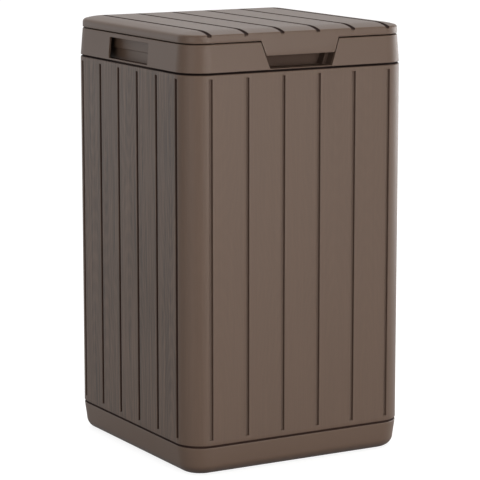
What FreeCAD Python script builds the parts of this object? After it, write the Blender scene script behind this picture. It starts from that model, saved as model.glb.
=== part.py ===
"""Upright resin deck storage box: tray base, four plank-look walls, rim with grips and a hinged lid.

Millimetres. Origin at the centre of the underside, +Z up, front towards -Y.
"""
import FreeCAD, Part
import math
import os
import Sketcher

Vector = FreeCAD.Vector
doc = FreeCAD.newDocument("deck_storage_box")

# ---------------------------------------------------------------- driving dimensions
DIMENSIONS = [
    ("box_wide", 430, "overall width"),
    ("box_deep", 430, "overall depth"),
    ("base_high", 50, "ground to the seam below the walls"),
    ("panel_high", 625, "wall height between the two seams"),
    ("rim_high", 48, "rim height"),
    ("lid_high", 21, "rim top to lid crown"),
    ("corner_round", 46, "radius of the upright corners"),
    ("base_round", 24, "radius under the base"),
    ("shell_thick", 3, "moulded wall of panels and lid"),
    ("skirt_thick", 3.5, "moulded wall of base and rim"),
    ("fit_gap", 0.3, "clearance between moulded pieces"),
    ("seam_gap", 2.6, "shadow gap at the base and rim seams"),
    ("lid_gap", 1.8, "shadow gap below the lid"),
    ("edge_plank", 42.5, "side of the box to its first groove"),
    ("groove_wide", 6, "groove between two planks"),
    ("groove_deep", 3.5, "depth of a plank groove"),
    ("groove_foot", 11, "base seam to the groove ends"),
    ("groove_head", 9, "rim seam to the groove ends"),
    ("shelf_height", 31, "underside of the shelf that carries the walls"),
    ("upstand_high", 26, "upstand above that shelf"),
    ("floor_height", 8, "underside of the storage floor"),
    ("foot_band", 40.5, "side of the box to the floor's rib cells"),
    ("rib_thick", 5, "ribs under the floor"),
    ("flange_deep", 14.5, "panel edge flange, measured inwards"),
    ("bead", 2, "locking bead on an edge flange"),
    ("strip_thick", 2, "wall of a joint strip"),
    ("rim_lean", 4, "how far the rim leans in over its height"),
    ("tongue_inset", 21.3, "side of the box to the walls' upper tongue"),
    ("mouth_flange", 18, "how far the middle flange hangs inside the rim's face"),
    ("lip_drop", 20, "inner lip below the rim top"),
    ("flange_drop", 27, "middle flange below the rim top"),
    ("grip_long", 143, "hand grip window length"),
    ("grip_foot", 4.5, "grip window above the rim seam"),
    ("grip_high", 36.1, "grip window height"),
    ("grip_round", 2.5, "corner radius of the grip window"),
    ("notch_wide", 152, "finger notch width at the rim top"),
    ("notch_narrow", 120, "finger notch width at its foot"),
    ("notch_foot", 3.3, "finger notch above the rim seam"),
    ("pocket_step", 20, "depth at which the finger pocket narrows"),
    ("pocket_deep", 38, "finger pocket depth"),
    ("tab_drop", 23.2, "pull tab below the rim top"),
    ("tab_gap", 1.3, "pull tab to notch side"),
    ("tab_thick", 4, "pull tab thickness"),
    ("crown_inset", 38, "lid edge to the flat of its crown"),
    ("crown_drop", 5.9, "crown above the lid's upper edge"),
    ("lid_groove_deep", 2.7, "depth of a lid groove"),
    ("lid_groove_back", 34, "rear of the lid to its groove ends"),
    ("hinge_high", 8, "hinge axis above the rim top"),
    ("hinge_inset", 4, "hinge axis inside the lid's rear face"),
    ("hinge_place", 130, "hinge centre from the middle"),
    ("knuckle_radius", 4, "hinge knuckle radius"),
    ("lid_knuckle", 30, "length of the lid's knuckle"),
    ("rim_knuckle", 12, "length of a rim knuckle"),
    ("knuckle_gap", 0.5, "end play between knuckles"),
    ("pin_radius", 2, "hinge pin radius"),
    ("pin_fit", 0.05, "radial fit of pins and screws"),
    ("pin_play", 0.2, "radial play of the pin in the lid's knuckle"),
    ("pin_head", 3.2, "hinge pin head radius"),
    ("pin_head_thick", 1.5, "hinge pin head thickness"),
    ("knuckle_rise", 6.5, "top of a lid knuckle above the hinge axis"),
    ("stop_high", 2.6, "lid stop above the rim top"),
    ("stop_wide", 12, "lid stop width"),
    ("liner_edge", 17, "side of the box to the lid liner"),
    ("liner_dish", 45, "side of the box to the liner's dished field"),
    ("dish_deep", 6, "how far the liner's field hangs below its edge"),
    ("screw_radius", 2, "screw shank radius"),
    ("screw_long", 6, "screw shank length"),
    ("screw_head", 4, "screw head radius"),
    ("head_high", 2.4, "screw head height"),
    ("screw_place", 130, "wall screws from the middle of each side"),
    ("lid_screw_place", 140, "lid screws from the middle"),
]
PLANK_GROOVES = 6
FLOOR_CELLS = 6

sheet = doc.addObject("Spreadsheet::Sheet", "dim")
for row, (alias, size, meaning) in enumerate(DIMENSIONS, start=1):
    sheet.set("A%d" % row, alias)
    sheet.set("B%d" % row, str(size))
    sheet.setAlias("B%d" % row, alias)
    sheet.set("C%d" % row, meaning)
doc.recompute()

# ---------------------------------------------------------------- places worked out from them
HALF_X = "dim.box_wide / 2"
HALF_Y = "dim.box_deep / 2"
ROUND = "dim.corner_round"
RIM_FOOT = "(dim.base_high + dim.panel_high)"
RIM_TOP = "(%s + dim.rim_high)" % RIM_FOOT
LID_FOOT = "(%s + dim.lid_gap)" % RIM_TOP
CROWN = "(%s + dim.lid_high)" % RIM_TOP
LID_EDGE = "(%s - dim.crown_drop)" % CROWN
WALL_FOOT = "(dim.base_high + dim.seam_gap / 2)"
WALL_HEAD = "(%s - dim.seam_gap / 2)" % RIM_FOOT
SHELF_TOP = "(dim.shelf_height + dim.shell_thick)"
UPSTAND_TOP = "(%s + dim.upstand_high)" % SHELF_TOP
SEAM_X = "(dim.box_wide / 2 - dim.edge_plank)"
SEAM_Y = "(dim.box_deep / 2 - dim.edge_plank)"
PITCH_X = "((dim.box_wide - 2 * dim.edge_plank) / %d)" % (PLANK_GROOVES - 1)
PITCH_Y = "((dim.box_deep - 2 * dim.edge_plank) / %d)" % (PLANK_GROOVES - 1)
TONGUE_FOOT_INSET = "(dim.skirt_thick + dim.fit_gap)"
UPSTAND_INSET = "(dim.skirt_thick + 2 * dim.fit_gap + dim.shell_thick)"
LIP_INSET = "(dim.tongue_inset + dim.shell_thick + dim.fit_gap)"
SCREW_HEIGHT_BASE = "(dim.base_high - dim.screw_head - 1)"
SCREW_HEIGHT_RIM = "(%s - 13)" % RIM_TOP
HINGE_Y = "(dim.box_deep / 2 - dim.rim_lean - dim.hinge_inset)"
HINGE_Z = "(%s + dim.hinge_high)" % RIM_TOP
LINER_FLOOR = "(%s + dim.fit_gap - dim.dish_deep)" % RIM_TOP
FAR = "1000"


def value(expression):
    """Number that an expression over the sheet stands for."""
    result = sheet.evalExpression(str(expression))
    return float(getattr(result, "Value", result))


def minus(expression):
    return "(-(%s))" % expression


def plus(*terms):
    return "(%s)" % " + ".join(str(term) for term in terms)


def less(first, *others):
    return "(%s)" % " - ".join([str(first)] + ["(%s)" % other for other in others])


# ---------------------------------------------------------------- sketches and features
def box_path(x_low, x_high, y_low, y_high):
    """Four corners, anticlockwise."""
    return [(x_low, y_low), (x_high, y_low), (x_high, y_high), (x_low, y_high)]


def round_path(half_x, half_y, radius, x_mid="0", y_mid="0"):
    """Rectangle with round corners: each corner is (x, y) or (x, y, radius of the arc to the next)."""
    x_in, y_in = less(half_x, radius), less(half_y, radius)
    corners = [(minus(x_in), minus(half_y)), (x_in, minus(half_y), radius),
               (half_x, minus(y_in)), (half_x, y_in, radius),
               (x_in, half_y), (minus(x_in), half_y, radius),
               (minus(half_x), y_in), (minus(half_x), minus(y_in), radius)]
    return [(plus(x_mid, c[0]), plus(y_mid, c[1])) + tuple(c[2:]) for c in corners]


def inset_path(inset):
    """The box's plan outline, moved inwards by an inset."""
    return round_path(less(HALF_X, inset), less(HALF_Y, inset), less(ROUND, inset))


def arc_between(start, end, radius):
    """Anticlockwise arc of less than half a turn from start to end."""
    middle = (start + end) * 0.5
    along = end - start
    rise = math.sqrt(max(radius ** 2 - (along.Length / 2) ** 2, 0.0))
    centre = middle + Vector(-along.y, along.x, 0).normalize() * rise
    angles = [math.atan2((p - centre).y, (p - centre).x) for p in (start, end)]
    return Part.ArcOfCircle(Part.Circle(centre, Vector(0, 0, 1), radius), *angles)


def add_path(sketch, path):
    """Closed outline whose corners and radii are bound to the sheet."""
    first = sketch.GeometryCount
    places = [Vector(value(corner[0]), value(corner[1]), 0) for corner in path]
    for index, corner in enumerate(path):
        start, end = places[index], places[(index + 1) % len(path)]
        if len(corner) == 3:
            sketch.addGeometry(arc_between(start, end, value(corner[2])), False)
        else:
            sketch.addGeometry(Part.LineSegment(start, end), False)
    for index, corner in enumerate(path):
        line = first + index
        sketch.addConstraint(Sketcher.Constraint("Coincident", line, 2, first + (index + 1) % len(path), 1))
        for kind, expression in (("DistanceX", corner[0]), ("DistanceY", corner[1])):
            number = sketch.addConstraint(Sketcher.Constraint(kind, -1, 1, line, 1, value(expression)))
            sketch.setExpression("Constraints[%d]" % number, expression)
        if len(corner) == 3:
            number = sketch.addConstraint(Sketcher.Constraint("Radius", line, value(corner[2])))
            sketch.setExpression("Constraints[%d]" % number, corner[2])


def add_circle(sketch, x, y, radius):
    circle = Part.Circle(Vector(value(x), value(y), 0), Vector(0, 0, 1), value(radius))
    index = sketch.addGeometry(circle, False)
    for kind, expression in (("DistanceX", x), ("DistanceY", y)):
        number = sketch.addConstraint(Sketcher.Constraint(kind, -1, 1, index, 3, value(expression)))
        sketch.setExpression("Constraints[%d]" % number, expression)
    number = sketch.addConstraint(Sketcher.Constraint("Radius", index, value(radius)))
    sketch.setExpression("Constraints[%d]" % number, radius)


def new_sketch(body, name, paths=(), circles=(), offset="0", role="XY_Plane"):
    sketch = body.newObject("Sketcher::SketchObject", name)
    support = [item for item in body.Origin.OriginFeatures if item.Role == role][0]
    sketch.AttachmentSupport = [(support, "")]
    sketch.MapMode = "FlatFace"
    sketch.setExpression("AttachmentOffset.Base.z", offset)
    for path in paths:
        add_path(sketch, path)
    for circle in circles:
        add_circle(sketch, *circle)
    return sketch


def new_body(name):
    body = doc.addObject("PartDesign::Body", name)
    body.Label = name
    return body


def pad(body, name, paths=(), low="0", high="1", circles=(), role="XY_Plane"):
    """Solid between two offsets along a plane's own normal."""
    feature = body.newObject("PartDesign::Pad", name)
    feature.Profile = new_sketch(body, name + "_sketch", paths, circles, low, role)
    feature.setExpression("Length", less(high, low))
    doc.recompute()
    return feature


def pocket(body, name, paths=(), low="0", high="1", circles=(), role="XY_Plane"):
    """Cut between two offsets along a plane's own normal."""
    feature = body.newObject("PartDesign::Pocket", name)
    feature.Profile = new_sketch(body, name + "_sketch", paths, circles, low, role)
    feature.setExpression("Length", less(high, low))
    feature.Reversed = True
    doc.recompute()
    return feature


def loft(body, name, sections, cut=False):
    """Straight-sided loft through outlines at rising heights: (height, path)."""
    sketches = [new_sketch(body, "%s_%d" % (name, index), [path], offset=height)
                for index, (height, path) in enumerate(sections)]
    kind = "PartDesign::SubtractiveLoft" if cut else "PartDesign::AdditiveLoft"
    feature = body.newObject(kind, name)
    feature.Profile = sketches[0]
    feature.Sections = sketches[1:]
    feature.Ruled = True
    doc.recompute()
    return feature


def pattern(body, feature, axis_role, span, count):
    """Repeat a feature evenly over a span; the first one stays where it is."""
    repeated = body.newObject("PartDesign::LinearPattern", feature.Name + "_row")
    repeated.Originals = [feature]
    axis = [item for item in body.Origin.OriginFeatures if item.Role == axis_role][0]
    repeated.Direction = (axis, [""])
    repeated.setExpression("Length", span)
    repeated.Occurrences = count
    body.Tip = repeated
    doc.recompute()
    return repeated


# ---------------------------------------------------------------- base
def make_base_tray():
    """Moulded tray: round-footed skirt, ribbed floor, and a shelf and upstand that hold the walls."""
    body = new_body("base_tray")
    tub = pad(body, "tub", [inset_path("0")], "0", less("dim.base_high", "dim.seam_gap / 2"))
    foot = body.newObject("PartDesign::Fillet", "round_foot")
    foot.Base = (tub, ["Edge%d" % (number + 1) for number, edge in enumerate(tub.Shape.Edges)
                       if edge.BoundBox.ZMax < 0.01])
    foot.setExpression("Radius", "dim.base_round")
    doc.recompute()
    faces = foot.Shape.Faces
    highest = max(range(len(faces)), key=lambda number: faces[number].CenterOfMass.z)
    shell = body.newObject("PartDesign::Thickness", "hollow")
    shell.Base = (foot, ["Face%d" % (highest + 1)])
    shell.setExpression("Value", "dim.skirt_thick")
    shell.Reversed = True
    doc.recompute()
    pad(body, "floor_block", [inset_path("dim.base_round - 4")], "dim.skirt_thick - 1",
        "dim.floor_height + dim.shell_thick")
    pad(body, "floor_plate", [inset_path("15")], "dim.floor_height", "dim.floor_height + dim.shell_thick")
    cell_x = "((dim.box_wide - 2 * dim.foot_band - %d * dim.rib_thick) / %d)" % (FLOOR_CELLS - 1, FLOOR_CELLS)
    cell_y = "((dim.box_deep - 2 * dim.foot_band - %d * dim.rib_thick) / %d)" % (FLOOR_CELLS - 1, FLOOR_CELLS)
    low_x, low_y = less("dim.foot_band", HALF_X), less("dim.foot_band", HALF_Y)
    rows = []
    for row in range(FLOOR_CELLS):
        start = plus(low_y, "%d * (%s + dim.rib_thick)" % (row, cell_y))
        rows.append(box_path(low_x, plus(low_x, cell_x), start, plus(start, cell_y)))
    cells = pocket(body, "cells", rows, "0", "dim.floor_height")
    pattern(body, cells, "X_Axis", less("dim.box_wide", "2 * dim.foot_band", cell_x), FLOOR_CELLS)
    pad(body, "wall_shelf", [inset_path("dim.skirt_thick - 0.5"),
                             inset_path(plus(UPSTAND_INSET, "dim.shell_thick"))],
        "dim.shelf_height", SHELF_TOP)
    pad(body, "upstand", [inset_path(UPSTAND_INSET), inset_path(plus(UPSTAND_INSET, "dim.shell_thick"))],
        "dim.shelf_height", UPSTAND_TOP)
    wall_screw_holes(body, SCREW_HEIGHT_BASE, UPSTAND_INSET, plus(UPSTAND_INSET, "dim.shell_thick"))
    return body


def wall_screw_holes(body, height, outer, inner, sides=("front", "back", "left", "right")):
    """Two screw holes a side through the walls that lie between two insets."""
    radius = "(dim.screw_radius + dim.pin_fit)"
    across = [(place, height, radius) for place in ("dim.screw_place", "(-dim.screw_place)")]
    ends = {"front": ("XZ_Plane", HALF_Y, 1), "back": ("XZ_Plane", HALF_Y, -1),
            "right": ("YZ_Plane", HALF_X, 1), "left": ("YZ_Plane", HALF_X, -1)}
    for side in sides:
        role, half, sign = ends[side]
        near, far = less(half, inner, "0.1"), less(half, outer, "-0.1")
        low, high = (near, far) if sign > 0 else (minus(far), minus(near))
        pocket(body, "screw_holes_" + side, low=low, high=high, circles=across, role=role)


# ---------------------------------------------------------------- walls
def seam_flange(body, name, x_sign, y_sign, along_y):
    """Inward flange with a locking bead beside a vertical seam in a side groove.

    x_sign picks the side of the box, y_sign the seam, and along_y which way the piece lies from it.
    """
    def at_x(inset):
        return "(%d * (dim.box_wide / 2 - (%s)))" % (x_sign, inset)

    def at_y(distance):
        return "(%d * %s + (%d) * (%s))" % (y_sign, SEAM_Y, along_y, distance)

    wall, gap = "dim.shell_thick", "dim.fit_gap / 2"
    root, tip = "dim.groove_deep", "dim.groove_deep + dim.flange_deep"
    steps = [(root, gap), (tip, gap), (tip, "%s + %s + dim.bead" % (gap, wall)),
             (tip + " - dim.bead", "%s + %s + dim.bead" % (gap, wall)),
             (tip + " - dim.bead", gap + " + " + wall), (root + " + " + wall, gap + " + " + wall),
             (root + " + " + wall, "dim.groove_wide / 2 + " + wall),
             (wall + " - 0.5", "dim.groove_wide / 2 + " + wall),
             (wall + " - 0.5", "dim.groove_wide / 2 + 0.4"), (root, "dim.groove_wide / 2 + 0.4")]
    path = [(at_x(inset), at_y(distance)) for inset, distance in steps]
    pad(body, name, [path], plus(UPSTAND_TOP, "2"), less(WALL_HEAD, wall, "2"))


def wall_features(body):
    """What all four walls share: skin, foot tongue, shoulder and upper tongue, as one ring."""
    wall = "dim.shell_thick"
    pad(body, "skin", [inset_path("0"), inset_path(wall)], WALL_FOOT, WALL_HEAD)
    foot = plus(TONGUE_FOOT_INSET, wall)
    pad(body, "foot_jog", [inset_path("0"), inset_path(foot)], WALL_FOOT, plus(WALL_FOOT, "4"))
    pad(body, "foot_tongue", [inset_path(TONGUE_FOOT_INSET), inset_path(foot)], SHELF_TOP,
        plus(WALL_FOOT, "4"))
    head = plus("dim.tongue_inset", wall)
    pad(body, "shoulder", [inset_path("0"), inset_path(head)], less(WALL_HEAD, wall), WALL_HEAD)
    pad(body, "head_tongue", [inset_path("dim.tongue_inset"), inset_path(head)], less(WALL_HEAD, wall),
        less(RIM_TOP, "dim.skirt_thick"))


def plank_grooves(body, face, first, pitch, count):
    """Grooves between planks on one face, with a stiffening ridge behind each."""
    reach, wall = "dim.groove_wide / 2", "dim.shell_thick"
    half, sign = {"front": (HALF_Y, -1), "back": (HALF_Y, 1), "left": (HALF_X, -1), "right": (HALF_X, 1)}[face]
    low, high = plus("dim.base_high", "dim.groove_foot"), less(RIM_FOOT, "dim.groove_head")

    def strip(outer, inner, side):
        near, far = sorted(("(%d * (%s - (%s)))" % (sign, half, outer), "(%d * (%s - (%s)))" % (sign, half, inner)),
                           key=value)
        ends = (less(first, side), plus(first, side))
        return box_path(*ends, near, far) if face in ("front", "back") else box_path(near, far, *ends)

    ridge = pad(body, "ridge", [strip("%s - 0.5" % wall, "dim.groove_deep + %s" % wall, "%s + %s" % (reach, wall))],
                less(low, wall), less(high, "0 - (%s)" % wall))
    axis = "X_Axis" if face in ("front", "back") else "Y_Axis"
    span = "%d * %s" % (count - 1, pitch)
    pattern(body, ridge, axis, span, count)
    groove = pocket(body, "groove", [strip("-2", "dim.groove_deep", reach)], low, high)
    pattern(body, groove, axis, span, count)


def seam_grooves(body):
    """The outermost grooves of both sides, which hold the vertical seams."""
    low, high = plus("dim.base_high", "dim.groove_foot"), less(RIM_FOOT, "dim.groove_head")
    reach = "dim.groove_wide / 2"
    paths = []
    for x_sign in (-1, 1):
        for y_sign in (-1, 1):
            edges = sorted(("(%d * (%s + 2))" % (x_sign, HALF_X),
                            "(%d * (%s - dim.groove_deep))" % (x_sign, HALF_X)), key=value)
            middle = "(%d * %s)" % (y_sign, SEAM_Y)
            paths.append(box_path(*edges, less(middle, reach), plus(middle, reach)))
    pocket(body, "seam_grooves", paths, low, high)


def make_end_panel(name, y_sign):
    """Front or back wall, which wraps both corners as far as the outermost side grooves."""
    body = new_body(name)
    wall_features(body)
    plank_grooves(body, "front" if y_sign < 0 else "back", minus(SEAM_X), PITCH_X, PLANK_GROOVES)
    seam_grooves(body)
    edge = "(%d * (%s + dim.fit_gap / 2))" % (y_sign, SEAM_Y)
    away = sorted((edge, "(%d * -500)" % y_sign), key=value)
    pocket(body, "behind_seam", [box_path("-" + FAR, FAR, *away)], "0", FAR)
    for side, x_sign in (("left", -1), ("right", 1)):
        seam_flange(body, "flange_" + side, x_sign, y_sign, y_sign)
    side_name = "front" if y_sign < 0 else "back"
    wall_screw_holes(body, SCREW_HEIGHT_BASE, TONGUE_FOOT_INSET, plus(TONGUE_FOOT_INSET, "dim.shell_thick"),
                     [side_name])
    wall_screw_holes(body, SCREW_HEIGHT_RIM, "dim.tongue_inset", plus("dim.tongue_inset", "dim.shell_thick"),
                     [side_name])
    if y_sign < 0:
        half = "(dim.notch_wide / 2 + dim.shell_thick + 1)"
        pocket(body, "pocket_room", [box_path(minus(half), half, minus(HALF_Y), less("60", HALF_Y))],
               WALL_HEAD, RIM_TOP)
    return body


def make_side_panel(name, x_sign):
    """Left or right wall, flat between its two seams."""
    body = new_body(name)
    wall_features(body)
    face = "left" if x_sign < 0 else "right"
    plank_grooves(body, face, plus(minus(SEAM_Y), PITCH_Y), PITCH_Y, PLANK_GROOVES - 2)
    seam_grooves(body)
    half = less(SEAM_Y, "dim.fit_gap / 2")
    edges = sorted(("(%d * (%s + 20))" % (x_sign, HALF_X), "(%d * (%s - 60))" % (x_sign, HALF_X)), key=value)
    keep = box_path(*edges, minus(half), half)
    pocket(body, "beyond_seams", [box_path("-" + FAR, FAR, "-" + FAR, FAR), keep], "0", FAR)
    for end, y_sign in (("front", -1), ("back", 1)):
        seam_flange(body, "flange_" + end, x_sign, y_sign, -y_sign)
    wall_screw_holes(body, SCREW_HEIGHT_BASE, TONGUE_FOOT_INSET, plus(TONGUE_FOOT_INSET, "dim.shell_thick"),
                     [face])
    wall_screw_holes(body, SCREW_HEIGHT_RIM, "dim.tongue_inset", plus("dim.tongue_inset", "dim.shell_thick"),
                     [face])
    return body


def make_joint_strip(name, x_sign, y_sign):
    """Channel that slides down over the two edge flanges of a seam and locks them together."""
    body = new_body(name)
    mouth = "(dim.shell_thick + dim.fit_gap * 1.5)"
    inner = "(dim.shell_thick + dim.bead + dim.fit_gap * 1.5)"
    tip = "(dim.groove_deep + dim.flange_deep)"
    lip_low = less(tip, "dim.bead", "dim.fit_gap", "dim.strip_thick")
    lip_high = less(tip, "dim.bead", "dim.fit_gap")
    floor = plus(tip, "dim.fit_gap")
    outer = plus(inner, "dim.strip_thick")
    half = [(lip_low, outer), (plus(floor, "dim.strip_thick"), outer)]
    inside = [(lip_low, mouth), (lip_high, mouth), (lip_high, inner), (floor, inner)]
    steps = half + [(i, minus(d)) for i, d in reversed(half)]
    steps += [(i, minus(d)) for i, d in inside] + list(reversed(inside))
    path = [("(%d * (%s - %s))" % (x_sign, HALF_X, i), "(%d * %s + %s)" % (y_sign, SEAM_Y, d)) for i, d in steps]
    pad(body, "channel", [path], plus(UPSTAND_TOP, "2"), less(WALL_HEAD, "dim.shell_thick", "10"))
    return body


# ---------------------------------------------------------------- rim
def rim_outline(height, inset):
    """Rim outline at a height: its face leans in towards the top."""
    lean = "(dim.rim_lean * (%s - %s) / dim.rim_high)" % (height, RIM_FOOT)
    return inset_path(plus(lean, inset))


def notch_path(height, side_gap, y_low, y_high):
    """Cross-section of the finger notch, whose sides open upwards."""
    foot = plus(RIM_FOOT, "dim.notch_foot")
    slope = "((dim.notch_wide - dim.notch_narrow) / 2 / (dim.rim_high - dim.notch_foot))"
    half = "(dim.notch_narrow / 2 + %s * (%s - %s) + %s)" % (slope, height, foot, side_gap)
    return box_path(minus(half), half, y_low, y_high)


def make_rim_frame():
    """Rim: leaning face with grips and finger pocket, top flange, and slots for the walls' tongues."""
    body = new_body("rim_frame")
    wall = "dim.skirt_thick"
    foot, under = plus(RIM_FOOT, "dim.seam_gap / 2"), less(RIM_TOP, wall)
    loft(body, "face", [(foot, rim_outline(foot, "0")), (RIM_TOP, rim_outline(RIM_TOP, "0"))])
    loft(body, "hollow", [(less(foot, "1"), rim_outline(less(foot, "1"), wall)), (under, rim_outline(under, wall))],
         cut=True)
    lip = plus(LIP_INSET, "dim.shell_thick")
    pocket(body, "mouth", [inset_path(lip)], less(RIM_TOP, "20"), plus(RIM_TOP, "1"))
    pad(body, "inner_lip", [inset_path(LIP_INSET), inset_path(lip)], less(RIM_TOP, "dim.lip_drop"),
        less(RIM_TOP, "1"))
    near = less("dim.tongue_inset", "dim.fit_gap")
    pad(body, "middle_flange", [inset_path(less(near, "dim.shell_thick")), inset_path(near)],
        less(RIM_TOP, "dim.flange_drop"), less(RIM_TOP, "1"))
    notch_foot = plus(RIM_FOOT, "dim.notch_foot")
    block_foot = less(notch_foot, "dim.shell_thick")
    face_y = "(%s - dim.box_deep / 2)"
    back = less("dim.pocket_deep + dim.shell_thick", HALF_Y)
    loft(body, "pocket_block", [
        (block_foot, notch_path(block_foot, "dim.shell_thick", face_y % "2", back)),
        (RIM_TOP, notch_path(RIM_TOP, "dim.shell_thick", face_y % "(dim.rim_lean + 1.5)", back))])
    above = plus(RIM_TOP, "1")
    for name, gap, start, end in (("finger_notch", "0", "-5", "dim.pocket_step"),
                                  ("finger_pocket", "-7", "(dim.pocket_step - 1)", "dim.pocket_deep")):
        loft(body, name, [(height, notch_path(height, gap, face_y % start, face_y % end))
                          for height in (notch_foot, above)], cut=True)
    centre_z = "(%s + dim.grip_foot + dim.grip_high / 2)" % RIM_FOOT
    window = round_path("dim.grip_long / 2", "dim.grip_high / 2", "dim.grip_round", "0", centre_z)
    deep = less(HALF_X, "10")
    pocket(body, "right_grip", [window], deep, plus(HALF_X, "5"), role="YZ_Plane")
    pocket(body, "left_grip", [window], minus(plus(HALF_X, "5")), minus(deep), role="YZ_Plane")
    wall_screw_holes(body, SCREW_HEIGHT_RIM, LIP_INSET, lip)
    rim_hinges(body)
    return body


def hinge_starts():
    """Left end of each rim knuckle, along X."""
    reach = "(dim.lid_knuckle / 2 + dim.knuckle_gap)"
    starts = []
    for sign in (-1, 1):
        middle = "(%d * dim.hinge_place)" % sign
        starts += [less(middle, reach, "dim.rim_knuckle"), plus(middle, reach)]
    return starts


def rim_hinges(body):
    """Rim knuckles on webs, their bores, and the two stops for the open lid."""
    web = "(dim.knuckle_radius - 1)"
    rise = "sqrt(dim.knuckle_radius^2 - %s^2)" % web
    below = less(RIM_TOP, "1")
    profile = [(less(HINGE_Y, "dim.knuckle_radius"), below), (plus(HINGE_Y, web), below),
               (plus(HINGE_Y, web), less(HINGE_Z, rise), "dim.knuckle_radius"),
               (HINGE_Y, plus(HINGE_Z, "dim.knuckle_radius"), "dim.knuckle_radius"),
               (less(HINGE_Y, "dim.knuckle_radius"), HINGE_Z)]
    for number, start in enumerate(hinge_starts()):
        end = plus(start, "dim.rim_knuckle")
        pad(body, "knuckle_%d" % number, [profile], start, end, role="YZ_Plane")
        pocket(body, "knuckle_bore_%d" % number, low=less(start, "0.5"), high=plus(end, "0.5"),
               circles=[(HINGE_Y, HINGE_Z, "dim.pin_radius + dim.pin_fit")], role="YZ_Plane")
    outside = less(HALF_Y, "dim.rim_lean")
    for name, sign in (("left_stop", -1), ("right_stop", 1)):
        middle = stop_place(sign)
        half = "dim.stop_wide / 2"
        pad(body, name, [box_path(less(middle, half), plus(middle, half), less(outside, "3.5"), outside)],
            below, plus(RIM_TOP, "dim.stop_high"))


def stop_place(sign):
    return "(%d * (dim.hinge_place - dim.lid_knuckle / 2 - dim.rim_knuckle - dim.stop_wide))" % sign


# ---------------------------------------------------------------- lid
def crown_sections(lower_by, inset_by):
    """Outlines of the lid's rolled-over crown, an arc that is level at the crown's inset."""
    steps = 6
    radius = "((dim.crown_inset^2 + dim.crown_drop^2) / 2 / dim.crown_drop)"
    sections = []
    for step in range(steps):
        inset = "(dim.crown_inset * %d / %d)" % (step, steps - 1)
        drop = "(%s - sqrt(%s^2 - (dim.crown_inset - %s)^2))" % (radius, radius, inset)
        height = less(CROWN, drop, lower_by)
        sections.append((height, inset_path(plus("dim.rim_lean", inset, inset_by))))
    return sections


def make_lid_shell():
    """Lid: rolled crown with plank grooves, short skirt, front pull tab and rear hinge knuckles."""
    body = new_body("lid_shell")
    wall = "dim.shell_thick"
    edge = "dim.rim_lean"
    loft(body, "crown", [(LID_FOOT, inset_path(edge))] + crown_sections("0", "0"))
    loft(body, "hollow", [(less(LID_FOOT, "1"), inset_path(plus(edge, wall)))] + crown_sections(wall, wall),
         cut=True)
    lid_grooves(body)
    bosses = [("%d * dim.lid_screw_place" % x, "%d * dim.lid_screw_place" % y)
              for x in (-1, 0, 1) for y in (-1, 0, 1)]
    seat = plus(LINER_FLOOR, "dim.shell_thick")
    pad(body, "bosses", low=seat, high=less(CROWN, "dim.shell_thick / 2"),
        circles=[(x, y, "dim.screw_radius + 3") for x, y in bosses])
    pocket(body, "boss_holes", low=less(seat, "1"), high=plus(seat, "6"),
           circles=[(x, y, "dim.screw_radius + dim.pin_fit") for x, y in bosses])
    tab_foot = less(RIM_TOP, "dim.tab_drop")
    sections = []
    for height in (tab_foot, plus(LID_FOOT, "1")):
        lean = "(dim.rim_lean * min(1; (%s - %s) / dim.rim_high))" % (height, RIM_FOOT)
        outer = less(lean, HALF_Y)
        sections.append((height, notch_path(height, "(-dim.tab_gap)", outer, plus(outer, "dim.tab_thick"))))
    loft(body, "pull_tab", sections)
    lid_hinges(body)
    return body


def lid_grooves(body):
    """Front-to-back grooves in line with the front wall's, with a ridge under each."""
    wall, deep = "dim.shell_thick", "dim.lid_groove_deep"
    front = less("dim.rim_lean", HALF_Y)
    level = plus(front, "dim.crown_inset")
    rear = less(HALF_Y, "dim.rim_lean", "dim.lid_groove_back")
    roll = "(dim.crown_drop - 1.6)"
    for name, side, raise_by in (("lid_ridge", plus("dim.groove_wide / 2", wall), minus(wall)),
                                 ("lid_groove", "dim.groove_wide / 2", "0")):
        floor = plus(less(CROWN, deep), raise_by)
        is_ridge = name == "lid_ridge"
        front_end = plus(front, "2") if is_ridge else less(front, "2")
        rear_end = plus(rear, wall) if is_ridge else rear
        top = less(CROWN, wall, "-0.5") if is_ridge else plus(CROWN, "2")
        top_front = less(LID_EDGE, wall, "-1") if is_ridge else plus(CROWN, "2")
        path = [(front_end, less(floor, roll)), (level, floor), (rear_end, floor), (rear_end, top),
                (level, top), (front_end, top_front)]
        make = pad if is_ridge else pocket
        feature = make(body, name, [path], less(minus(SEAM_X), side), plus(minus(SEAM_X), side), role="YZ_Plane")
        pattern(body, feature, "X_Axis", "%d * %s" % (PLANK_GROOVES - 1, PITCH_X), PLANK_GROOVES)


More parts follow.
